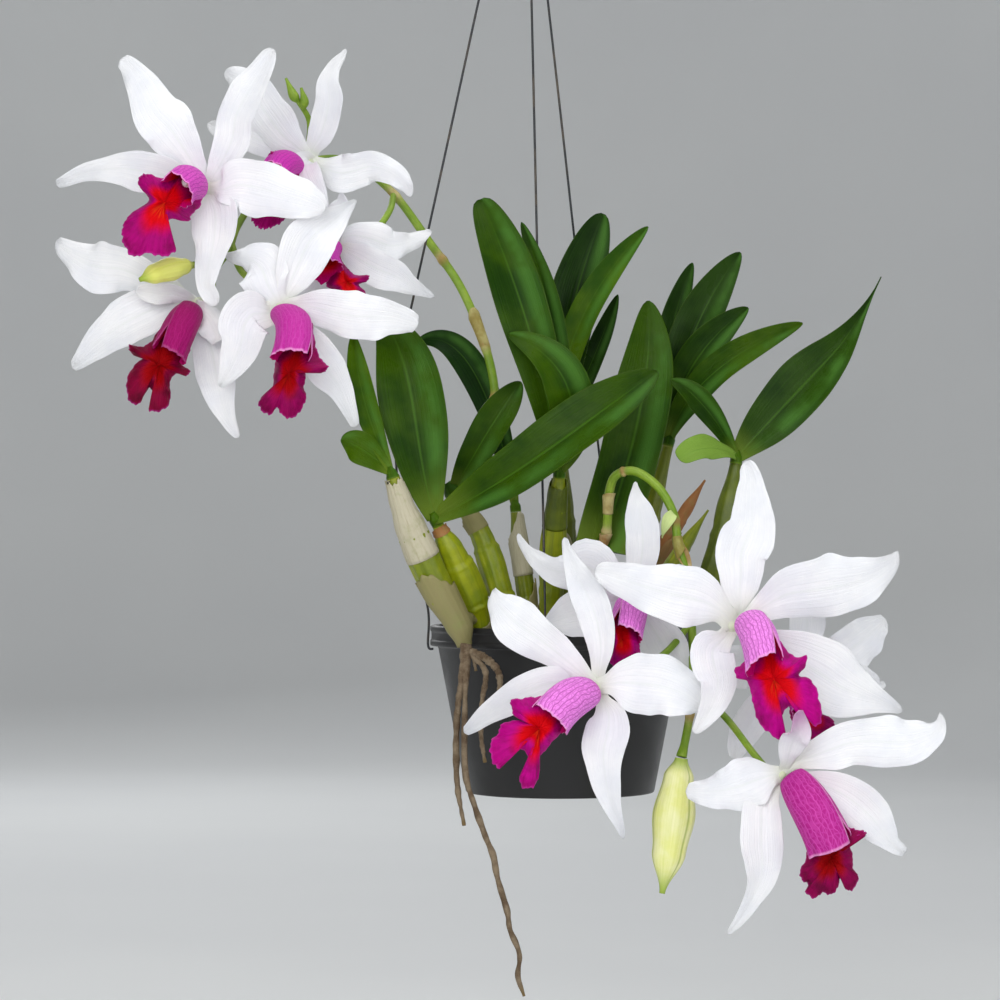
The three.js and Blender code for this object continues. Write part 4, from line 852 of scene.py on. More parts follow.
# A sepal or petal is drawn by how far its tip lies back from the hub, and by stations of
# (across, up, width) from the hub. A lip is drawn by the mouth and tip of its tube, its width and
# its tone, 0 pink to 1 crimson; far is -1 where its far side lobe is the left one, root moves its
# start and bend its middle, and under says which way its underside looks where that is not to
# the tip. Its front sheet has an edge of (across, up) places, from the near corner round the
# front lobe to the far corner, that spreads from its throat; sheet moves all of it.
BLOOMS = [
    {"hub": (-143.5, -62, 178.5), "face": (-0.35, -0.9, -0.2), "tepals": [
        ("sepal", -12, [(1.2, 2.4, 4), (5.6, 9.2, 10), (10.4, 19.2, 14.4), (12, 28, 14.8),
            (16.4, 36.4, 14.8), (22, 45.2, 10.4), (26, 52.4, 6), (27.5, 54.4, 3)]),
        ("petal", 3, [(-1.6, 3.2, 5), (-4.8, 9.2, 10.4), (-10, 17.6, 16.4), (-14.4, 24, 20),
            (-20.4, 30.4, 18.4), (-26.8, 42.8, 12.4), (-31.2, 49.4, 8), (-34.8, 52.4, 5)]),
        ("petal", -13, [(4, -0.4, 6), (7.2, -0.8, 11), (13.2, 0.8, 20), (22, -0.6, 22),
            (31.2, -3.4, 18.4), (39.2, -5.8, 15), (45.2, -8, 10.4), (48.4, -10.4, 4)]),
        ("sepal", 14, [(-6.8, 1.6, 8), (-16.8, 4.8, 14.4), (-26.8, 6.8, 16), (-34.8, 8, 12.4),
            (-42.8, 7.6, 8.8), (-50.8, 6.6, 6.8), (-58.8, 3.6, 4.6), (-62.8, 2.4, 3)]),
        ("sepal", -5, [(0.8, -3.6, 8), (3.2, -10, 19.2), (3.2, -18.8, 18), (2.2, -25.6, 13.6),
            (0.4, -33.6, 9.6), (0, -40, 7.4), (2.4, -44.8, 6.4), (3.6, -48, 3)])],
     "lip": {"mouth": (-10.4, -24, -3), "tip": (-25, -31, -27), "width": 20, "tone": 0.35,
             "far": -1, "root": (-2.5, 0, 0), "sheet": (1.9, -2), "throat": (-17, -5.7),
             "edge": [(-7.3, -9.7), (-8.1, -12.5), (-14.9, -12.5), (-15.4, -17.8), (-12.1, -25),
                (-17, -27.5), (-23, -26.3), (-29.1, -27.5), (-32.7, -22.6), (-33.5, -17.4),
                (-32.7, -13.7), (-29.9, -9.7), (-23.4, -4.4), (-26.3, -0.4), (-27.9, 2.4),
                (-26.7, 5.3), (-24.2, 6), (-19, 4.4), (-14.5, 4), (-11.3, 7.3), (-9.3, 10),
                (-6, 6.5), (-3.6, -1), (-4.4, -6)]}},
    {"hub": (-104.1, -18, 192.9), "face": (-0.3, -0.95, 0.1), "tepals": [
        ("petal", 8, [(-2.9, 4.2, 5.8), (-10.4, 10.4, 15), (-16.6, 18.3, 19), (-22.4, 26.6, 18.3),
            (-27.8, 32.4, 12.5), (-32, 35.7, 9), (-36, 37.4, 3.3)]),
        ("sepal", 2, [(0.8, 5, 5.8), (4.2, 11.2, 10.8), (6.6, 18.3, 11.6), (7.9, 25.7, 11.2),
            (7.5, 32.8, 8.7), (9.5, 39, 5.4), (12.9, 44, 3), (14.5, 47.3, 1.4)]),
        ("petal", -4, [(5, -2.2, 7), (12.5, -5, 15), (18.7, -4.2, 14), (24.9, -2.5, 13),
            (31, -3.7, 10.8), (36.5, -6.6, 8.3), (40.7, -10.8, 5.4), (42.3, -15, 2)]),
        ("sepal", -26, [(-1.7, 0.8, 6.6), (-3.3, -2.5, 12.5), (-1.7, -8.3, 14), (2.5, -15, 10.8),
            (6.2, -20, 5), (8.3, -22.4, 2)]),
        ("sepal", 12, [(-4.2, 0.8, 5.8), (-12.5, 5, 10.8), (-22.8, 10, 12.5), (-33.2, 13.3, 10.8),
            (-39.4, 15, 6.6), (-43.6, 17.4, 2)])],
     "lip": {"mouth": (-13, -25, -7.5), "tip": (-18, -33, -26), "width": 17, "tone": 0.5,
             "far": -1, "root": (-4, 0, -1.5), "sheet": (1.3, -3), "throat": (-12, -5),
             "edge": [(-4.2, -4.1), (-6, -12), (-9.1, -17.8), (-10.4, -23.2), (-15.8, -26.6),
                (-19.9, -27), (-23.2, -24), (-24, -19), (-21.6, -13.7), (-17.8, -9), (-17.9, -2.9),
                (-18, 1.7), (-16.6, 5), (-13.7, 5.8), (-10, 4.6), (-4.2, 3)]}},
    {"hub": (-149.5, -48, 132.2), "face": (-0.4, -0.85, -0.25), "tepals": [
        ("petal", 14, [(-5.3, 3.3, 6.5), (-13.4, 7.3, 11.4), (-21.6, 11.4, 14), (-29.7, 14.7, 18),
            (-37.9, 15.5, 20.4), (-44, 17.1, 16.3), (-50, 20.4, 11), (-55.4, 24.4, 7.4),
            (-57.6, 27, 4)]),
        ("sepal", -10, [(-3.3, 2, 5.7), (-8.5, 4, 7.6), (-14.2, 4, 8.4), (-19.5, 4.5, 7),
            (-23.6, 4.9, 3)]),
        ("sepal", 12, [(-5.3, 0.4, 7.3), (-13.4, -0.8, 13.8), (-21.6, -4, 18.7),
            (-28.9, -7.7, 18.7), (-35.8, -12.2, 15.5), (-41.9, -17, 12), (-48, -22.8, 6.5),
            (-51.7, -25.6, 3.4)]),
        ("sepal", -4, [(1.6, -4.9, 5.7), (4, -11, 9.8), (6.9, -19.1, 15.5), (8.5, -27.3, 16.3),
            (9.8, -34.6, 13.8), (11.4, -41.5, 9.8), (13.8, -47.6, 6), (16.3, -52.5, 3.4),
            (17.5, -54.6, 1.8)]),
        ("petal", -12, [(2, -1.5, 6), (5.5, -5, 10), (8.5, -9.8, 11), (10.5, -13.5, 8),
            (11.3, -15.2, 4)])],
     "lip": {"mouth": (-9, -23, -21), "tip": (-18.6, -29, -42), "width": 19, "tone": 0.97,
             "far": -1, "bend": (0, 1, 3), "sheet": (2, -1.3), "throat": (-14.7, -24),
             "edge": [(-2.8, -17), (-5.7, -24), (-2.8, -26), (-3.7, -28.5), (-8.1, -27.7),
                (-10.2, -31.3), (-9.8, -36.2), (-11, -41.1), (-15, -43.1), (-18.3, -42.3),
                (-15.9, -37.9), (-18.3, -33.4), (-20.4, -36.6), (-22, -39.9), (-25.6, -39.5),
                (-27.3, -34.6), (-27.3, -28.9), (-24.4, -24), (-21.2, -20.8), (-24.8, -20.4),
                (-26.9, -17.9), (-26.9, -15.9), (-22.4, -16.7), (-19.1, -15.1), (-16, -10),
                (-12, -6), (-6.9, -12)]}},
    {"hub": (-113.8, -66, 129.8), "face": (0.05, -0.95, -0.3), "tepals": [
        ("sepal", 4, [(2, 4.4, 5.6), (4.8, 11.3, 13.7), (8, 18.5, 18.6), (11.3, 25.4, 20),
            (15.3, 30.6, 18), (21, 35, 12), (25.8, 39, 6.4), (29, 42, 3.2), (30.6, 43.5, 1.4)]),
        ("petal", 12, [(-1.6, 4, 8.9), (-4.8, 9.7, 17.7), (-7.3, 16.1, 20), (-10.9, 19.3, 14.5),
            (-15, 20.2, 8.9), (-19.3, 21, 5.2), (-23, 21.8, 2)]),
        ("sepal", 3, [(-4.8, -2.4, 9.7), (-10.9, -2.8, 19), (-14.1, -6.9, 20), (-15.3, -13.7, 16),
            (-17.7, -20.2, 13), (-20.6, -26.2, 8), (-23, -30.2, 4), (-24.2, -31.8, 2)]),
        ("petal", -4, [(6, 1.2, 6.5), (14.1, 0.4, 13.7), (22.2, -1.6, 17), (30.2, -3.2, 17.7),
            (38.3, -3.6, 16.5), (45.1, -4, 13.7), (51.6, -5.6, 10), (55.6, -6.9, 6)]),
        ("sepal", 8, [(3.2, -4, 4.8), (8, -10.9, 11.3), (13.7, -17.7, 15.3), (18.9, -25, 15.4),
            (23.8, -32.2, 10.5), (26.6, -38.3, 7.3), (28.6, -43.5, 5), (30.2, -48, 3)])],
     "lip": {"mouth": (6, -24, -21), "tip": (2.6, -27, -42.5), "width": 20.5, "tone": 0.7,
             "bend": (4, 1, 3), "sheet": (1.4, -1.2), "throat": (3.6, -25.8),
             "edge": [(-2, -16.9), (-2.4, -21), (-2.8, -25.8), (-3.2, -31.4), (-6.9, -34.7),
                (-8.5, -37.9), (-6.9, -41.1), (-3.6, -42.3), (-1.2, -39.5), (0.4, -41.9),
                (3.6, -43.9), (6.9, -42.3), (9.3, -38.7), (10.5, -35.1), (9.3, -31.4),
                (10.1, -27.4), (9.3, -23.8), (12.1, -24.6), (14.9, -25.8), (17.7, -25),
                (18.9, -23), (16.1, -20.2), (14.1, -16.1), (12.9, -10.9), (11, -4), (7, -8),
                (2, -13)]}},
    {"hub": (-93.4, -26, 158.7), "face": (-0.65, -0.75, 0.1), "tepals": [
        ("petal", 8, [(2.9, 2, 5.8), (9.5, 2.9, 10.7), (16.5, 1.2, 14), (23.5, -1.2, 12.4),
            (29.7, 0, 7.6), (34.3, 2, 6.2), (38, 4.5, 4), (39.7, 5.8, 2)]),
        ("sepal", -3, [(4.1, -2.9, 6.6), (10.3, -7, 13.2), (17.8, -11.2, 14), (24.8, -14, 12.4),
            (31, -17.8, 7.4), (36, -20.2, 4.1), (40.5, -22.3, 1.6)]),
        ("sepal", -6, [(0.4, 2.9, 5), (1.2, 8.7, 9), (2, 13.6, 9), (2.5, 17.8, 5), (2, 20.2, 2)]),
        ("petal", 22, [(-3, 2, 6), (-8, 5, 13), (-12.5, 9, 15), (-16, 11.5, 8), (-17.5, 12.4, 3)]),
        ("sepal", 8, [(-1.5, -4, 5), (-5, -12, 12), (-8.5, -21, 14), (-11, -29, 9),
            (-12, -34, 2.4)])],
     "lip": {"mouth": (-2, -20, -12.5), "tip": (8, -24, -25), "width": 16.5, "tone": 0.45,
             "sheet": (1.1, -1.6), "throat": (4.5, -15.7),
             "edge": [(-4, -16.9), (0, -19.5), (2, -24), (7, -26), (12, -24.5), (12.4, -20),
                (9.5, -16.6), (12.8, -15.3), (13.6, -12.8), (7.8, -12.4), (5, -9.9), (2.1, -6.2),
                (0.4, -2.1), (-1.5, -5), (-2.5, -11)]}},
    {"hub": (13.2, -92, -21.5), "face": (-0.4, -0.9, -0.1), "tepals": [
        ("petal", 9, [(-3.6, 3.6, 4.8), (-9.9, 9.1, 10.3), (-16.6, 14.7, 14.3),
            (-23.4, 19.8, 16.6), (-30.5, 24.6, 18.2), (-35.6, 29.3, 15.4), (-39.2, 33.7, 10),
            (-40.6, 37.4, 3.6), (-40.6, 38.4, 1)]),
        ("sepal", 3, [(0.4, 6.7, 5.5), (1.2, 14.7, 9.5), (0, 24.6, 12.7), (-2.8, 33.3, 13.5),
            (-6.7, 41.6, 11), (-10.3, 49.5, 6.3), (-12.3, 55, 3.4), (-13.1, 59, 2)]),
        ("petal", -6, [(4, 1.2, 7), (9.9, 2, 17.4), (17, 1.6, 23.6), (24.2, 0.8, 23),
            (31.3, -1.2, 19.8), (36.8, -4, 15), (40.4, -6.7, 9), (42, -8.3, 4)]),
        ("sepal", 14, [(-4.8, 1.6, 5.5), (-12.7, 2, 11), (-20.6, 0.8, 13.5), (-28.5, -2.4, 13.5),
            (-36.4, -6.7, 11), (-43.2, -11, 8), (-49, -15.8, 5.4), (-53, -19, 3)]),
        ("sepal", 0, [(2, -5.1, 5.5), (4.4, -11, 13.5), (4, -17.8, 17.4), (2.4, -24.2, 16.6),
            (2.4, -30.9, 13.5), (3.6, -38.8, 10.7), (5.5, -46, 7.2), (7.9, -52.7, 4.6),
            (9.5, -57.4, 2.8), (9.9, -60.2, 1.2)])],
     "lip": {"mouth": (-19.5, -21, -11.5), "tip": (-34, -27, -32), "width": 22.5, "tone": 0.1,
             "far": -1, "sheet": (-0.6, 1.2), "throat": (-22.2, -16.6),
             "edge": [(-12.7, -17), (-17.4, -21.8), (-20.6, -25.7), (-22.6, -27.7), (-22.2, -32.1),
                (-23.4, -36.8), (-25.3, -39.2), (-29.3, -38.8), (-30.1, -34.5), (-27.3, -31.7),
                (-26.9, -27.3), (-29.7, -24.2), (-33.3, -24.2), (-35.6, -26.1), (-36.4, -29.7),
                (-38, -31.7), (-40.4, -29.7), (-41.6, -25.3), (-41.2, -21), (-38.4, -18.2),
                (-37.6, -15), (-33.3, -13.5), (-28.1, -13.1), (-32.1, -11.9), (-33.3, -8.3),
                (-33.7, -5.5), (-28.9, -4.8), (-24.2, -4.4), (-17, -5), (-11, -10)]}},
    {"hub": (27.4, -58, 12), "face": (-0.35, -0.92, -0.15), "tepals": [
        ("petal", -6, [(-4, 4, 8), (-10, 8, 18), (-17, 13.6, 23), (-24.3, 12, 15),
            (-30.4, 12.2, 10), (-36.5, 15.4, 7), (-41.3, 19.8, 5.4), (-44, 24.3, 3.4),
            (-45, 27.1, 1.6)]),
        ("sepal", 2, [(2.4, 6, 5), (4, 14.2, 11.3), (4.9, 22.3, 13), (4.5, 29.2, 13),
            (3.6, 35.6, 11), (2.4, 41.3, 6), (2, 45.4, 2.6), (2, 47.8, 1)]),
        ("sepal", 16, [(4, -4.9, 8), (8.9, -11.3, 16), (13, -18.2, 18.6), (16.2, -25, 16),
            (18.6, -31.6, 10.5), (20.3, -36.5, 3.4)]),
        ("sepal", -4, [(-4.9, -1.2, 7.3), (-12.2, -2.8, 16), (-19.4, -4.9, 19), (-26.3, -6.9, 16),
            (-31.6, -8.9, 8), (-34.4, -10.5, 3)]),
        ("petal", 4, [(4, 1, 7), (12, 3, 15), (20, 5, 18), (27, 7, 12), (32, 8.5, 4)])],
     "lip": {"mouth": (-3.5, -21, -13), "tip": (-8, -24, -30), "width": 19, "tone": 0.15,
             "far": -1, "bend": (2, 1, 3), "sheet": (-0.8, 0.6), "throat": (-3.2, -15.2),
             "edge": [(4.1, -18.2), (4.1, -24.3), (0, -27.5), (-4.9, -27.5), (-8.1, -24.3),
                (-6.9, -18.2), (-7.3, -13), (-8.1, -7.3), (-5.7, -4.9), (-3.6, -2.8), (0, -4),
                (3, -9)]}},
    {"hub": (66.5, -100, 2.9), "face": (0.25, -0.93, -0.25), "tepals": [
        ("sepal", 2, [(3.2, 6.3, 5.5), (2.8, 13.4, 13.4), (3.2, 20.9, 17), (3.2, 28, 19),
            (5.5, 33.9, 20.4), (7.5, 39.8, 17), (7.6, 46, 14.6), (7.5, 51.6, 12), (7.5, 57.5, 8.6),
            (6.3, 62.3, 6.4), (5, 64.6, 3)]),
        ("petal", -4, [(-4.3, 5.5, 8.7), (-11, 9.5, 19), (-17.7, 11.4, 22.6), (-25.6, 13, 21.6),
            (-33.5, 15.4, 18), (-41.4, 18, 14.2), (-47.7, 20, 11), (-52.4, 21.3, 7.4),
            (-54.8, 21.7, 3.6)]),
        ("petal", 8, [(5.9, 4.3, 4.7), (12.6, 8.3, 11.8), (20.5, 12.6, 19.7), (29.6, 14.2, 22.8),
            (38.2, 15.4, 23.6), (46.1, 17, 20.5), (53.2, 19.3, 16.5), (59.5, 22.5, 11.8),
            (64, 26, 6.3), (65.6, 29.6, 1.6)]),
        ("sepal", 8, [(7.5, -3.5, 5.5), (16.5, -8.7, 15), (26.4, -14.2, 23.4), (35, -19.3, 27),
            (43, -24.4, 24), (50.8, -27.6, 17), (57.9, -30, 9.5), (63.8, -32.3, 4.9),
            (67.8, -34.3, 2)]),
        ("sepal", -6, [(-3.2, -4.7, 7), (-7.9, -9.5, 16.6), (-7.5, -15.4, 16.5), (-5.9, -22, 14.2),
            (-7.5, -29.2, 11), (-9.9, -34.3, 8), (-13, -39, 4.9), (-15.6, -42, 2.2)])],
     "lip": {"mouth": (11, -27, -14), "tip": (20, -28, -41), "width": 20.5, "tone": 0.0,
             "root": (3.5, -2, 3), "bend": (2, 2, 4), "sheet": (-1.5, 0.8),
             "throat": (15.8, -20.5),
             "edge": [(4.7, -15), (1.6, -16.9), (2, -20.5), (5.9, -21.7), (7.1, -26.8),
                (8.3, -31.9), (9.8, -37), (13.4, -41), (17.7, -43.7), (20.5, -42.9), (18.9, -38.6),
                (19.3, -33.9), (22.1, -31.1), (25.2, -31.5), (26.8, -34.7), (26.8, -37.4),
                (29.5, -37), (31.9, -39), (34.3, -35.5), (33.5, -29.2), (32.3, -24), (29.2, -20.1),
                (25.6, -19.3), (27.6, -16.5), (28.8, -11.4), (24.8, -12.2), (21.7, -9.9),
                (18.5, -5.1), (15.8, 0.4), (12.2, 4.7), (9.5, 3), (8, -7)]}},
    {"hub": (95.8, -64, -20.1), "face": (0.2, -0.95, -0.1), "tepals": [
        ("petal", 4, [(4.8, 3.2, 5.6), (12, 8, 12), (20.2, 12.9, 17.7), (26.6, 17.7, 17),
            (31.4, 21.8, 9.7), (34.7, 24.6, 4)]),
        ("sepal", 6, [(6, 0, 5.6), (14.1, 0.8, 11.3), (22.2, 0.8, 11.3), (28.2, -0.4, 7.3),
            (32.6, -2.4, 3.6), (34.9, -1.4, 2)]),
        ("sepal", 2, [(-3.2, -2, 4.8), (-10, -6, 10.5), (-17, -12.9, 13), (-22.2, -21, 12),
            (-25, -27.4, 8), (-26.2, -32.2, 3.4)]),
        ("sepal", 6, [(0.5, 4, 5), (1.8, 13, 11), (3, 23, 14), (3.8, 33, 9), (4, 39.6, 3)]),
        ("petal", 8, [(-5, 1, 6), (-14, 3.5, 13), (-23, 5.5, 16), (-31, 7, 11), (-37.6, 8, 3.4)])],
     "lip": {"mouth": (1, -20, -10), "tip": (7, -22, -24), "width": 15, "tone": 0.5,
             "sheet": (-1.9, 1.2), "throat": (4, -13),
             "edge": [(-3, -10), (-3, -16), (2, -22), (8, -25), (13, -23), (14, -17), (9, -12),
                (13, -9), (12, -5), (6, -3), (0, -4)]}},
    {"hub": (84.5, -118, -54.5), "face": (0.15, -0.97, 0.12), "tepals": [
        ("pink sepal", -31, [(1.6, 5, 4.7), (2.3, 9.7, 7.8), (3.5, 14.4, 10), (4.9, 18.3, 9.6),
            (4.7, 22.2, 7), (4.3, 24.9, 5), (4.3, 26.8, 2.8)]),
        ("petal", 5, [(5, 4.3, 4.7), (11.7, 7.4, 10), (18.7, 10, 14.8), (25.7, 12.4, 16.3),
            (33.5, 13.2, 17.9), (41.2, 12.8, 19.5), (48.2, 12.8, 17.9), (54.5, 14.4, 14),
            (59.4, 16.7, 8.8), (62, 20.4, 3.6), (61.8, 24, 1)]),
        ("sepal", 2, [(6.2, -1.2, 4.7), (14, -3.1, 10), (21.8, -6.2, 14), (28.8, -10.9, 16.3),
            (35, -16.7, 15.6), (39.7, -22.6, 11), (43.2, -26.8, 6.4), (46.7, -29.2, 4.4),
            (48.4, -30.2, 3)]),
        ("petal", 4, [(-3.9, 0, 7.8), (-10.5, -1.9, 18), (-17, -4.3, 18.6), (-23.3, -5.8, 14.8),
            (-28.8, -6.6, 11), (-33.5, -6.6, 8), (-37.3, -6.6, 5)]),
        ("sepal", 0, [(-3.9, -4.3, 7), (-7.8, -11.7, 14), (-8.2, -19.5, 15.6), (-8.2, -27.2, 16.7),
            (-7.8, -33.8, 14.8), (-8.6, -40.8, 11), (-11.7, -47.9, 7.2), (-15.2, -54, 4.6),
            (-18.7, -59, 3), (-21, -61.9, 1.6)])],
     "lip": {"mouth": (18, -12, -26), "tip": (18.7, -13, -47), "width": 24, "tone": 0.78,
             "root": (1.5, -1, 2.5), "under": (-0.15, 0.9, -0.4), "sheet": (-0.8, 0.8),
             "throat": (18.7, -32.1),
             "edge": [(10.9, -26), (9.3, -33.1), (7, -37), (7.8, -40.8), (10.1, -42.4),
                (8.9, -45.1), (12.4, -47.5), (15.6, -45.5), (18.7, -46.3), (21.4, -43.6),
                (22.6, -40.1), (24.5, -44), (27.2, -44.7), (29.6, -39.3), (27.6, -36.2),
                (27.6, -31.5), (26.1, -26.5), (26.5, -23), (30, -23.3), (32.7, -23.7),
                (32.7, -22.2), (29.2, -21.4), (25.7, -20.2), (21.8, -18), (14, -22)]}},
]

# The flower stalks: two green stems with brown-ringed nodes, the left from among the leaves, the
# right arching over from the front growth. Each bears a pedicel to the back of every bloom, and
# dry sheaths or small green bracts at its nodes.

STALK_RADIUS = 1.8
STALK_SHEATH_THICK = 0.25
PEDICEL_RADIUS = 1.4
PEDICEL_END_RADIUS = 1.6
PEDICEL_STRAIGHT = 6.0

LEFT_STALK = [
    (-44.1, -25, 56.3, 1.7), (-38, -15, 72, STALK_RADIUS), (-28, -3, 92, STALK_RADIUS),
    (-29, 0, 108, STALK_RADIUS), (-41.2, 5, 141, 1.8), (-54.7, 8, 161, 1.8),
    (-72.5, 9, 184.2, 1.7), (-90.5, 8, 196, 1.6), (-110, 6, 194, 1.6), (-124, -8, 182, 1.5),
    (-134, -20, 166, 1.5), (-137, -30, 154, 1.4)]
LEFT_TWIG = [(-107, 6, 195, 1.3), (-105.5, 3, 212, 1.2), (-110, 0, 220, 1.1)]
LEFT_SMALL_BUDS = [
    [(-109.5, 0, 219.5, 1), (-111.5, -1, 222, 2.1), (-115, -2, 229.5, 0.6)],
    [(-108, 0, 216.5, 0.9), (-107.2, -1, 219.5, 1.9), (-108.6, -2, 225.5, 0.6)]]
LEFT_BUD_STALK = [(-136, -26, 159, 1.3), (-140, -40, 151, 1.3), (-145.2, -50, 148.8, 1.3),
                  (-149.5, -55.4, 147.8, 1.4)]
RIGHT_STALK = [
    (16.6, -30.6, 32.2, 1.9), (18.6, -36, 40, 1.9), (19.6, -41, 56, 1.9), (22, -44, 62.4, 1.8),
    (29, -47, 64.4, 1.8), (38.6, -48, 58.4, 1.8), (45.2, -49, 47.4, 1.8), (47.4, -50, 34, 1.8),
    (51, -51, 22, 1.8), (53, -52, -4, 1.7), (52.6, -54, -28, 1.7), (49.6, -57, -46, 1.7),
    (48.3, -58.4, -51.4, 2.2)]
RIGHT_BRACTS = [
    [(45.4, -51, 47, 1.2), (42, -52, 44, 1.5), (40.6, -53, 37, 0.6)],
    [(47.4, -50, 33.6, 1.2), (50.4, -51.5, 28, 1.5), (52.8, -52.5, 21, 0.6)]]
LEFT_NODES = (0.2, 0.3, 0.42, 0.53, 0.63, 0.74, 0.86)
RIGHT_NODES = (0.08, 0.29, 0.52, 0.68, 0.86)


def pedicel(number, start, *via):
    """The way from the stalk to the back of a bloom: into it along the line that it faces."""
    bloom = BLOOMS[number - 1]
    back = -unit(bloom["face"])
    end = np.array(bloom["hub"]) + back * (OVARY_LENGTH + OVARY_GAP)
    route = [start, *via, tuple(end + back * PEDICEL_STRAIGHT)]
    return [(*p, PEDICEL_RADIUS) for p in route] + [(*end, PEDICEL_END_RADIUS)]


LEFT_PEDICELS = [
    pedicel(1, (-119, -3, 187.5), (-128, -22, 188)), pedicel(2, (-88, 8, 195.5)),
    pedicel(3, (-136.5, -28, 156), (-143, -30, 146)),
    pedicel(4, (-136, -26, 158), (-131, -38, 146)), pedicel(5, (-70, 9, 182), (-72, -1, 173))]
RIGHT_PEDICELS = [
    pedicel(6, (52, -51, 2), (42, -60, -9), (28, -70, -17)), pedicel(7, (50.4, -51, 24)),
    pedicel(8, (53, -51.6, 10), (56, -68, 6)), pedicel(9, (52.8, -54, -24), (70, -48, -22)),
    pedicel(10, (52.8, -54, -26), (63.6, -76, -33), (76, -98, -49))]

stalk = Paint("flower_stalk", 0.42, Specular_IOR_Level=0.45)
patches, grain = mottled(stalk, 110.0, 2200.0)
lines = veined(stalk, 20.0, 6.0)
green = coated((116, 152, 28), (faded(patches, 0.35, 0.7), (148, 176, 54)),
               (sums("MULTIPLY", lines, 0.3), (88, 120, 22)),
               (faded(stalk.tone, -0.5, -0.1, 1.0, 0.0), (208, 226, 150)))
brown = coated((172, 124, 80), (faded(patches, 0.4, 0.65), (216, 190, 146)))
stalk.finish(coated(green, (stalk.tone, brown)), sums("MULTIPLY_ADD", lines, 0.6, grain), 0.14,
             faded(stalk.tone, 0.3, 0.9, 0.4, 0.75))


def noded(nodes):
    """A slight ring at each node, where the stalk is a little thicker."""
    def swell(t, turn):
        ring = sum(0.22 * np.exp(-((t - node) / 0.006) ** 2) for node in nodes)
        return 1 + ring + 0.03 * np.sin(3 * turn + 20 * t)
    return swell


def browned(nodes, foot):
    """Brown at the nodes and, where the stalk's foot is sheathed, below that share of it."""
    def tone(t, turn):
        ring = sum(0.75 * np.exp(-((t - node - 0.004) / 0.011) ** 2) for node in nodes)
        return np.clip(ring + 0.8 * (t < foot) + 0 * turn, 0, 1)
    return tone


def bract(points, tone):
    """A small pointed scale, hollow on the side of its stalk."""
    start, way, tip = (np.array(p[:3]) for p in points)
    return blade({"base": start, "tip": tip, "bow": (way - (start + tip) / 2) / 2, "rows": 24,
                  "cols": 9, "widest": 0.3, "neck": 0.7, "sharp": 1.1, "cup": 0.5, "fold": 0.0,
                  "wave": 0.2, "waves": 1.0, "phase": 0.0, "frill": 0.0, "thick": 0.5,
                  "face": (0, -1, 0.2), "width": 5.0}, tone)


def stalk_sheath(points, start, end, tone):
    """A dry sleeve round a stretch of a stalk, split to a point at its upper end."""
    rows, sides = 18, 28
    u = np.linspace(0, 1, rows)[:, None]
    turn = 2 * np.pi * np.arange(sides)[None] / sides
    t = start + (end - start) * u * (0.78 + 0.22 * np.cos(turn + 2.4))
    off = STALK_RADIUS + 0.35 + 0.5 * u ** 2 + 0.08 * np.sin(9 * turn)
    return sleeve(points, t, turn, off, STALK_SHEATH_THICK, tone)


def flower_stalk(route, nodes, foot, twigs, pedicels):
    """A stalk with its nodes, brown below the share that is its foot, its twigs and pedicels."""
    return [rod(route, rows=260, sides=18, swell=noded(nodes), tone=browned(nodes, foot))] + twigs \
        + [rod(points, rows=50, sides=14) for points in pedicels]


twigs = [rod(LEFT_TWIG, rows=30, sides=14)]
twigs += [rod(points, rows=24, sides=16, swell=lambda t, turn: 1 + 0.08 * np.cos(3 * turn))
          for points in LEFT_SMALL_BUDS]
left = flower_stalk(LEFT_STALK, LEFT_NODES, 0.2, twigs, LEFT_PEDICELS + [LEFT_BUD_STALK])
left += [stalk_sheath(LEFT_STALK, 0.02, 0.2, 0.95), stalk_sheath(LEFT_STALK, 0.3, 0.34, 0.6)]
piece("left_stalk_and_pedicels", left, [stalk], "left_flower_stalk")
right = flower_stalk(RIGHT_STALK, RIGHT_NODES, 0.0, [], RIGHT_PEDICELS)
right += [bract(points, tone) for points, tone in zip(RIGHT_BRACTS, (-0.5, 0.9))]
right += [stalk_sheath(RIGHT_STALK, 0.03, 0.08, 0.9), stalk_sheath(RIGHT_STALK, 0.12, 0.17, 0.7),
          stalk_sheath(RIGHT_STALK, 0.56, 0.62, 0.5)]
piece("right_stalk_and_pedicels", right, [stalk], "right_flower_stalk")

# The buds: two closed buds, each of three sepals that meet along raised seams, cream-yellow with
# greener seams, foot and tip, waxy.

LEFT_BUD = [(-150, -56, 147.7, 1.5), (-153, -59, 147, 3.4), (-158, -64, 145.6, 4.9),
            (-164, -69, 143.4, 4.1), (-169.5, -73, 140.8, 1)]
RIGHT_BUD = [(48.2, -58.5, -52, 2.6), (47, -59, -60, 6.2), (45, -60, -75, 8.7),
             (43, -60, -90, 6.9), (40.3, -60, -106.5, 1.2)]

bud = Paint("closed_bud", 0.4, Specular_IOR_Level=0.45)
patches, grain = mottled(bud, 90.0, 1900.0)
lines = veined(bud, 60.0, 2.0)
seam = sums("ABSOLUTE", sums("SINE", sums("MULTIPLY", bud.across, 3 * np.pi)))
ends = sums("MAXIMUM", faded(bud.along, 0.0, 0.22, 0.85, 0.0),
            faded(bud.along, 0.82, 1.0, 0.0, 0.9))
cream = coated((248, 248, 190), (faded(patches, 0.35, 0.7), (238, 240, 150)),
               (sums("MULTIPLY", lines, 0.3), (210, 220, 100)),
               (faded(seam, 0.0, 0.2, 0.6, 0.0), (150, 176, 40)),
               (bud.tone, (224, 230, 98)), (ends, (150, 180, 48)))
bud.finish(cream, sums("MULTIPLY_ADD", lines, 0.5, grain), 0.12)

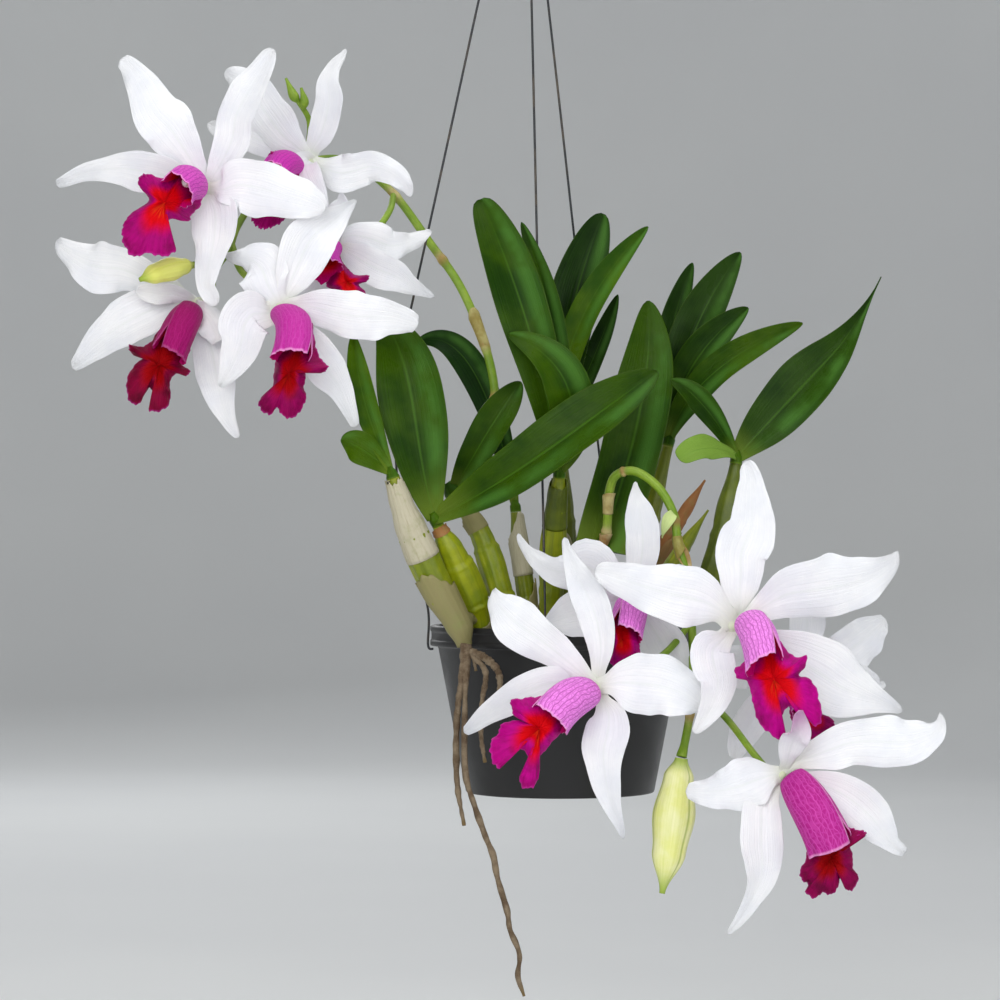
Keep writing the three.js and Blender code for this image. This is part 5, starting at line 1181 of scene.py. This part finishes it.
three_sepals = lambda t, turn: 1 - 0.05 * (1 - np.abs(np.sin(1.5 * turn))) ** 5 \
    + 0.02 * np.cos(3 * turn + 0.8) + 0.008 * np.sin(15 * turn)
for name, points, greener in (("left", LEFT_BUD, 0.8), ("right", RIGHT_BUD, 0.0)):
    skins = [rod(points, rows=90, sides=72, swell=three_sepals, tone=greener)]
    piece(f"{name}_closed_bud", skins, [bud], f"{name}_bud")

# The blooms: white, fleshy sepals and broader wavy petals round a greenish hub, with the ovary
# behind, and a lip rolled to a veined pink tube round the column. The tube's throat is red with
# yellow streaks, and its front lobe is a ruffled, notched skirt of deep magenta.

petal = Paint("white_petal", 0.52, Specular_IOR_Level=0.35)
patches, grain = mottled(petal, 60.0, 2600.0)
lines = veined(petal, 34.0, 1.6)
rib = sums("MULTIPLY", faded(from_middle(petal), 0.0, 0.1, 0.35, 0.0),
           faded(petal.along, 0.3, 0.9, 1.0, 0.0))
blush = sums("MULTIPLY", faded(petal.tone, -1.0, -0.5, 1.0, 0.0),
             faded(petal.along, 0.35, 0.9, 0.0, 0.7))
white = coated((240, 241, 243), (faded(patches, 0.3, 0.75), (228, 230, 236)),
               (sums("MULTIPLY", lines, 0.2), (212, 216, 226)),
               (faded(petal.along, 0.02, 0.24, 0.55, 0.0), (226, 232, 204)),
               (rib, (222, 228, 224)), (faded(petal.tone, 0.0, 1.0), (206, 218, 160)),
               (blush, (206, 110, 186)))
petal.finish(white, sums("MULTIPLY_ADD", lines, 0.8, grain), 0.12)

lip_tube = Paint("lip_tube", 0.52, Specular_IOR_Level=0.14)
across, along, tone = lip_tube.across, lip_tube.along, lip_tube.tone
grain = mottled(lip_tube, 150.0, 2400.0)[1]
# Lines that fan along the tube, joined by the cell edges of a fine stretched Voronoi pattern.
bent = add("ShaderNodeTexNoise", {"Vector": lip_tube.place, "Scale": 190.0, "Detail": 2.0})
strand = sums("MULTIPLY_ADD", across, 27.0, sums("MULTIPLY", bent.outputs["Fac"], 1.6))
strand = sums("ABSOLUTE", sums("SINE", sums("MULTIPLY", strand, np.pi)))
cells = add("ShaderNodeTexVoronoi", {
    "Vector": vector(sums("MULTIPLY", across, 34.0), sums("MULTIPLY", along, 15.0), tone),
    "Scale": 1.0, "Randomness": 0.9}, feature="DISTANCE_TO_EDGE").outputs["Distance"]
net = sums("MAXIMUM", faded(strand, 0.05, 0.5, 1.0, 0.0), faded(cells, 0.02, 0.16, 0.45, 0.0))
ground = coated((240, 144, 234), (faded(tone, 0.0, 0.5), (210, 54, 180)),
                (faded(tone, 0.45, 1.0), (148, 2, 92)))
ink = coated((162, 28, 148), (faded(tone, 0.45, 0.8), (216, 84, 184)),
             (faded(tone, 0.85, 1.0), (168, 14, 110)))
rim = sums("MAXIMUM", faded(along, 0.965, 0.99, 0.0, 0.6),
           faded(from_middle(lip_tube), 0.97, 0.99, 0.0, 0.6))
rim = sums("MULTIPLY", rim, faded(tone, 0.8, 1.0, 1.0, 0.15))
outer = coated(ground, (sums("MULTIPLY", net, 0.72), ink),
               (faded(along, 0.0, 0.2, 0.5, 0.0), (196, 50, 160)), (rim, (246, 172, 224)))
throat = coated((232, 6, 22), (faded(along, 0.6, 0.96), (196, 0, 112)))
inside = sums("GREATER_THAN", across, 1.0)
lip_tube.finish(coated(outer, (inside, throat)), sums("MULTIPLY_ADD", net, -0.8, grain), 0.16)

lip_lobe = Paint("lip_front_lobe", 0.55, Specular_IOR_Level=0.08)
across, along, tone = lip_lobe.across, lip_lobe.along, lip_lobe.tone
patches, grain = mottled(lip_lobe, 130.0, 2200.0)
lines = veined(lip_lobe, 90.0, 2.4)
shade = coated((138, 0, 90), (tone, (84, 0, 28)))
red = coated((214, 0, 14), (faded(tone, 0.4, 0.8), (150, 0, 6)))
aside = sums("ABSOLUTE", sums("SUBTRACT", across, 0.3))
glow = sums("MULTIPLY", faded(lines, 0.45, 0.85),
            sums("MULTIPLY", faded(tone, 0.3, 0.8, 0.45, 0.05),
                 sums("MULTIPLY", faded(along, 0.16, 0.36, 1.0, 0.0),
                      faded(aside, 0.06, 0.17, 1.0, 0.0))))
crimson = coated((188, 0, 134), (tone, (126, 0, 44)), (faded(patches, 0.4, 0.75), shade),
                 (sums("MULTIPLY", lines, 0.25), shade),
                 (faded(along, 0.95, 1.0, 0.0, 0.4), (216, 70, 180)),
                 (faded(along, 0.34, 0.7, 1.0, 0.0), red), (glow, (244, 96, 24)))
lip_lobe.finish(crimson, sums("MULTIPLY_ADD", lines, 1.0, grain), 0.2)


SEPAL = {"rows": 50, "cols": 15, "thick": 0.85, "cup": 0.06, "fold": 0.16, "wave": 1.2,
         "waves": 1.3, "frill": 0.35, "ragged": 0.012, "uneven": 0.02, "roll": 0.0,
         "step": -0.8}
PETAL = {**SEPAL, "cols": 19, "cup": -0.12, "fold": 0.1, "wave": 2.0, "waves": 1.8,
         "frill": 0.7, "ragged": 0.03, "uneven": 0.05, "step": 0.7}
PINK_TONE = -1.0
HUB_TONE = 0.5


def tepal(hub, face, kind, back, stations, seed):
    """A sepal or petal on a curve through its stations, whose widths it takes. It leans back by
    back t^1.4 less 3 sin(pi t), turns a little about its length, and rounds off at its tip."""
    b = {**(PETAL if kind == "petal" else SEPAL), "phase": 1.3 * seed,
         "twist": 16 * np.sin(2.3 * seed)}
    stations = np.array([(0, 0, stations[0][2] * 0.8)] + stations, float)
    deep = lambda u: back * u ** 1.4 - 3.0 * np.sin(np.pi * u)
    u = np.linspace(0, 1, len(stations))
    points = np.stack([stations[:, 0], deep(u), stations[:, 1]], 1) + hub + face * b["step"]
    t = np.linspace(0.0, 1.0, b["rows"])
    t = t * (1.2 - 0.2 * t)
    widths = np.stack([stations[:, 2], 0 * u, 0 * u], 1)
    half = np.maximum(1.06 * curve(widths, t)[:, :1], 0.6) / 2
    half = half * np.sqrt(np.clip((1.002 - t) / 0.035, 0.004, 1))[:, None]
    toward = unit(face + np.array([0, -1.2, 0]))
    return spread(b, t, curve(points, t), heading(points, t, 4e-3), half, toward,
                  PINK_TONE * ("pink" in kind))


def lip_frame(bloom):
    """Where a lip's tube starts and ends, and its directions: along, under and across."""
    hub, lip = np.array(bloom["hub"], float), bloom["lip"]
    mouth = hub + lip["mouth"]
    axis = unit(mouth - hub)
    under = np.array(lip.get("under", np.subtract(lip["tip"], lip["mouth"])), float)
    under = unit(under - axis * (under @ axis))
    start = hub + axis * (HUB_RADIUS + 0.2) + lip.get("root", (0, 0, 0))
    return start, mouth, axis, under, np.cross(axis, under)


def lip_tube_skin(bloom):
    """The lip's two side lobes, rolled up from the underside round the column. The near lobe
    wraps over the roof and onto the far one.
    At t along and psi round from the underside, from -near to far, the radius is
    r (0.42 + 0.62 sin(pi/2 t^0.45)); the roof reaches forward like a bonnet, by
    -k tt cos(psi), so that the mouth looks down on the front lobe."""
    start, mouth, axis, under, across = lip_frame(bloom)
    lip = bloom["lip"]
    scale = lip["width"] / LIP_WIDTH
    rows, sides = 48, 81
    t = np.linspace(0, 1, rows)[:, None]
    q = np.linspace(0, 1, sides)[None]
    near = np.pi * (1.22 - 0.08 * t ** 3)
    far = np.pi * (0.98 - 0.4 * t ** 2)
    psi = -near + q * (near + far)
    near_corner = np.exp(-((psi + 0.42 * np.pi) / 0.35) ** 2)
    ripple = t ** 8 * (0.35 * np.sin(11 * psi + 7 * lip["tone"]) + 0.2 * np.sin(23 * psi))
    radius = LIP_TUBE_RADIUS * scale * (0.42 + 0.62 * np.sin(np.pi / 2 * t ** 0.45)) \
        - 0.45 * psi / np.pi + 1.2 * scale * near_corner * t ** 10 + ripple
    reach = scale * (-5.4 * t ** 2 * np.cos(psi) + 1.4 * near_corner * t ** 8)
    way = lip.get("far", 1) * psi
    drop = 3.0 * np.sin(np.pi * 0.85 * t) - 1.4 * t ** 3
    bend = np.array(lip.get("bend", (0, 0, 0)), float)
    middle = start + (mouth - start) * t[..., None] + bend * (2 * t * (1 - t))[..., None]
    middle = middle + under * (0.94 * radius * np.cos(psi) - drop)[..., None] \
        + across * (radius * np.sin(way))[..., None] + axis * reach[..., None]
    outward = under * np.cos(psi)[..., None] + across * np.sin(way)[..., None]
    thin = 0.35 * (1 - 0.6 * t ** 6) + 0 * psi
    return two_faced(middle, thin, q[0], t[:, 0], lip["tone"], outward, finish=1, strip=True)


def lip_lobe_skin(bloom):
    """The lip's front sheet: rings round the throat, at shares r of the way to the edge. It comes
    forward with its front lobe and runs back to the hub beside the tube; it swells by
    2.4 sin(pi r), curls back by 1.6 r^4, and ruffles in waves that grow crisp to its margin."""
    lip = bloom["lip"]
    scale = lip["width"] / LIP_WIDTH
    throat = np.array(lip["throat"], float)
    edge = np.array(lip["edge"], float)
    count, sides, rows = len(edge), 200, 22
    closed = np.concatenate([edge[-2:], edge, edge[:3]])
    turn = np.arange(sides) / sides
    loop = curve(np.insert(closed, 1, 0, axis=1), (2 + count * turn) / (count + 4))[:, [0, 2]]
    off = loop - throat
    set_x, set_z = lip["sheet"]
    way = np.array(lip["tip"], float)[[0, 2]] - throat
    forward = np.clip(off @ way / (way @ way), 0, 1)
    back = np.clip(off @ -throat / (throat @ throat), 0, 1)
    inner = lip["mouth"][1] + 2.0
    outer = (inner + (lip["tip"][1] - inner) * forward) * (1 - back)
    r = np.concatenate([[0.02], np.linspace(0, 1, rows)[1:] ** 0.85])[:, None]
    turn = 2 * np.pi * turn[None]
    seed = 5 * lip["tone"] + lip["width"]
    edged = r * (1 + r ** 6 * (0.014 * np.sin(29 * turn + seed) + 0.012 * np.sin(53 * turn)))
    ruffle = scale * (r ** 3 * (0.8 * np.sin(6 * turn + seed) + 0.5 * np.sin(11 * turn + 2 * seed))
                      + r ** 8 * (0.55 * np.sin(27 * turn + seed) + 0.3 * np.sin(43 * turn)))
    deep = inner + (outer - inner) * r - 2.4 * np.sin(np.pi * r) + 1.6 * r ** 4 + ruffle
    sheet = np.stack([set_x + throat[0] + off[:, 0] * edged, deep,
                      set_z + throat[1] + off[:, 1] * edged], -1)
    thin = np.zeros(3) + (0, 0.35, 0) * (1 - 0.6 * r ** 4)[..., None]
    rings = np.concatenate([sheet - thin, (sheet + thin)[::-1]]) + np.array(bloom["hub"], float)
    return skin(rings, np.linspace(0, 1, sides + 1), np.concatenate([r[:, 0], r[::-1, 0]]),
                lip["tone"], 2)


def column_skin(bloom):
    """The column in the tube's roof: a stout rod with its white cap behind the mouth."""
    start, mouth, _, under, _ = lip_frame(bloom)
    scale = bloom["lip"]["width"] / LIP_WIDTH
    at = lambda share, lift: start + (mouth - start) * share - under * lift * scale
    return rod([(*at(0.05, 0.5), 1.6), (*at(0.4, 3.4), 2.2 * scale), (*at(0.62, 3.6), 2.4 * scale),
                (*at(0.7, 3.0), 1.0)], rows=30, sides=20)


for number, bloom in enumerate(BLOOMS, 1):
    hub = np.array(bloom["hub"], float)
    face = unit(bloom["face"])
    tepals = [tepal(hub, face, *drawn, 5 * number + order)
              for order, drawn in enumerate(bloom["tepals"])]
    core = rod([(*(hub + face * 1.8), 1.2), (*hub, 0.88 * HUB_RADIUS),
                (*(hub - face * OVARY_LENGTH), PEDICEL_END_RADIUS)], rows=40, sides=30,
               swell=lambda t, turn: 1 + 0.05 * np.cos(6 * turn) * (t > 0.4), tone=HUB_TONE)
    piece(f"bloom_{number}_sepals_and_petals", tepals + [core], [petal],
          f"bloom_{number}_petals")
    piece(f"bloom_{number}_lip_tube_and_lobe",
          [lip_tube_skin(bloom), lip_lobe_skin(bloom), column_skin(bloom)],
          [petal, lip_tube, lip_lobe], f"bloom_{number}_lip")

# The surroundings: a pale round backdrop below and round the hanging plant, five soft boxes, most
# of them in front, and the camera where the photograph was taken from.

CAMERA_PLACE = np.array([-10.5, -1600.0, -337.1]) * MILLIMETRE
FRAME_WIDTH = 0.42
SENSOR = 36.0
FLOOR_HEIGHT = -0.6
BACKDROP_RADIUS = 3.2
BACKDROP_BEND = 1.1
BACKDROP_TOP = 1.9
BACKDROP_SIDES = 96

camera = bpy.data.cameras.new("camera")
camera.sensor_width = SENSOR
camera.lens = SENSOR * abs(CAMERA_PLACE[1]) / FRAME_WIDTH
viewer = bpy.data.objects.new("camera", camera)
viewer.location = CAMERA_PLACE
viewer.rotation_euler = (np.pi / 2, 0, 0)
bpy.context.scene.collection.objects.link(viewer)
bpy.context.scene.camera = viewer

backdrop_paint = Paint("backdrop_paint", 0.9)
patches = mottled(backdrop_paint, 1.2, 60.0)[0]
backdrop_paint.finish(coated((222, 224, 226), (faded(patches, 0.3, 0.7), (228, 230, 231))))

flat = np.linspace(1e-4, BACKDROP_RADIUS - BACKDROP_BEND, 12)
arc = np.linspace(0, np.pi / 2, 20)[1:]
sweep = np.concatenate([
    np.stack([flat, np.full(12, FLOOR_HEIGHT)], 1),
    np.stack([BACKDROP_RADIUS - BACKDROP_BEND + BACKDROP_BEND * np.sin(arc),
              FLOOR_HEIGHT + BACKDROP_BEND * (1 - np.cos(arc))], 1),
    [[BACKDROP_RADIUS, BACKDROP_TOP]]])
turn = 2 * np.pi * np.arange(BACKDROP_SIDES) / BACKDROP_SIDES
bowl = np.stack([sweep[:, 0, None] * np.cos(turn), sweep[:, 0, None] * np.sin(turn),
                 sweep[:, 1, None] + 0 * turn], -1)
faces = ring_quads(*bowl.shape[:2])[0]
mesh = bpy.data.meshes.new("backdrop")
mesh.from_pydata(bowl.reshape(-1, 3), [], faces.tolist())
mesh.polygons.foreach_set("use_smooth", np.ones(len(faces), bool))
mesh.materials.append(backdrop_paint.made)
backdrop = bpy.data.objects.new("backdrop", mesh)
bpy.context.scene.collection.objects.link(backdrop)


def soft_light(name, place, aim, size, watts, tint):
    """A square soft box that points from its place to its aim."""
    lamp = bpy.data.lights.new(name, "AREA")
    lamp.size = size
    lamp.energy = watts
    lamp.color = tint
    box = bpy.data.objects.new(name, lamp)
    box.location = place
    away = unit(np.array(place) - np.array(aim))
    box.rotation_euler = (np.arccos(away[2]), 0, np.arctan2(away[1], away[0]) + np.pi / 2)
    bpy.context.scene.collection.objects.link(box)


AIM = (0.0, -0.05, -0.33)
soft_light("key", (-0.6, -2.0, 0.35), AIM, 1.2, 23, (1.0, 0.99, 0.97))
soft_light("fill", (0.8, -1.9, -0.45), AIM, 1.3, 18, (0.99, 0.99, 1.0))
soft_light("low_fill", (-0.25, -2.1, -1.1), AIM, 1.2, 13, (1.0, 1.0, 1.0))
soft_light("top", (0.3, -0.2, 1.3), AIM, 1.2, 13, (1.0, 1.0, 1.0))
soft_light("back", (-0.6, 1.9, 0.5), AIM, 1.2, 9, (0.98, 0.99, 1.0))

bpy.context.scene.view_settings.view_transform = "Standard"
world = bpy.data.worlds.new("world")
world.use_nodes = True
sky = world.node_tree.nodes["Background"]
sky.inputs["Color"].default_value = colour(226, 226, 224)
sky.inputs["Strength"].default_value = 0.33
bpy.context.scene.world = world
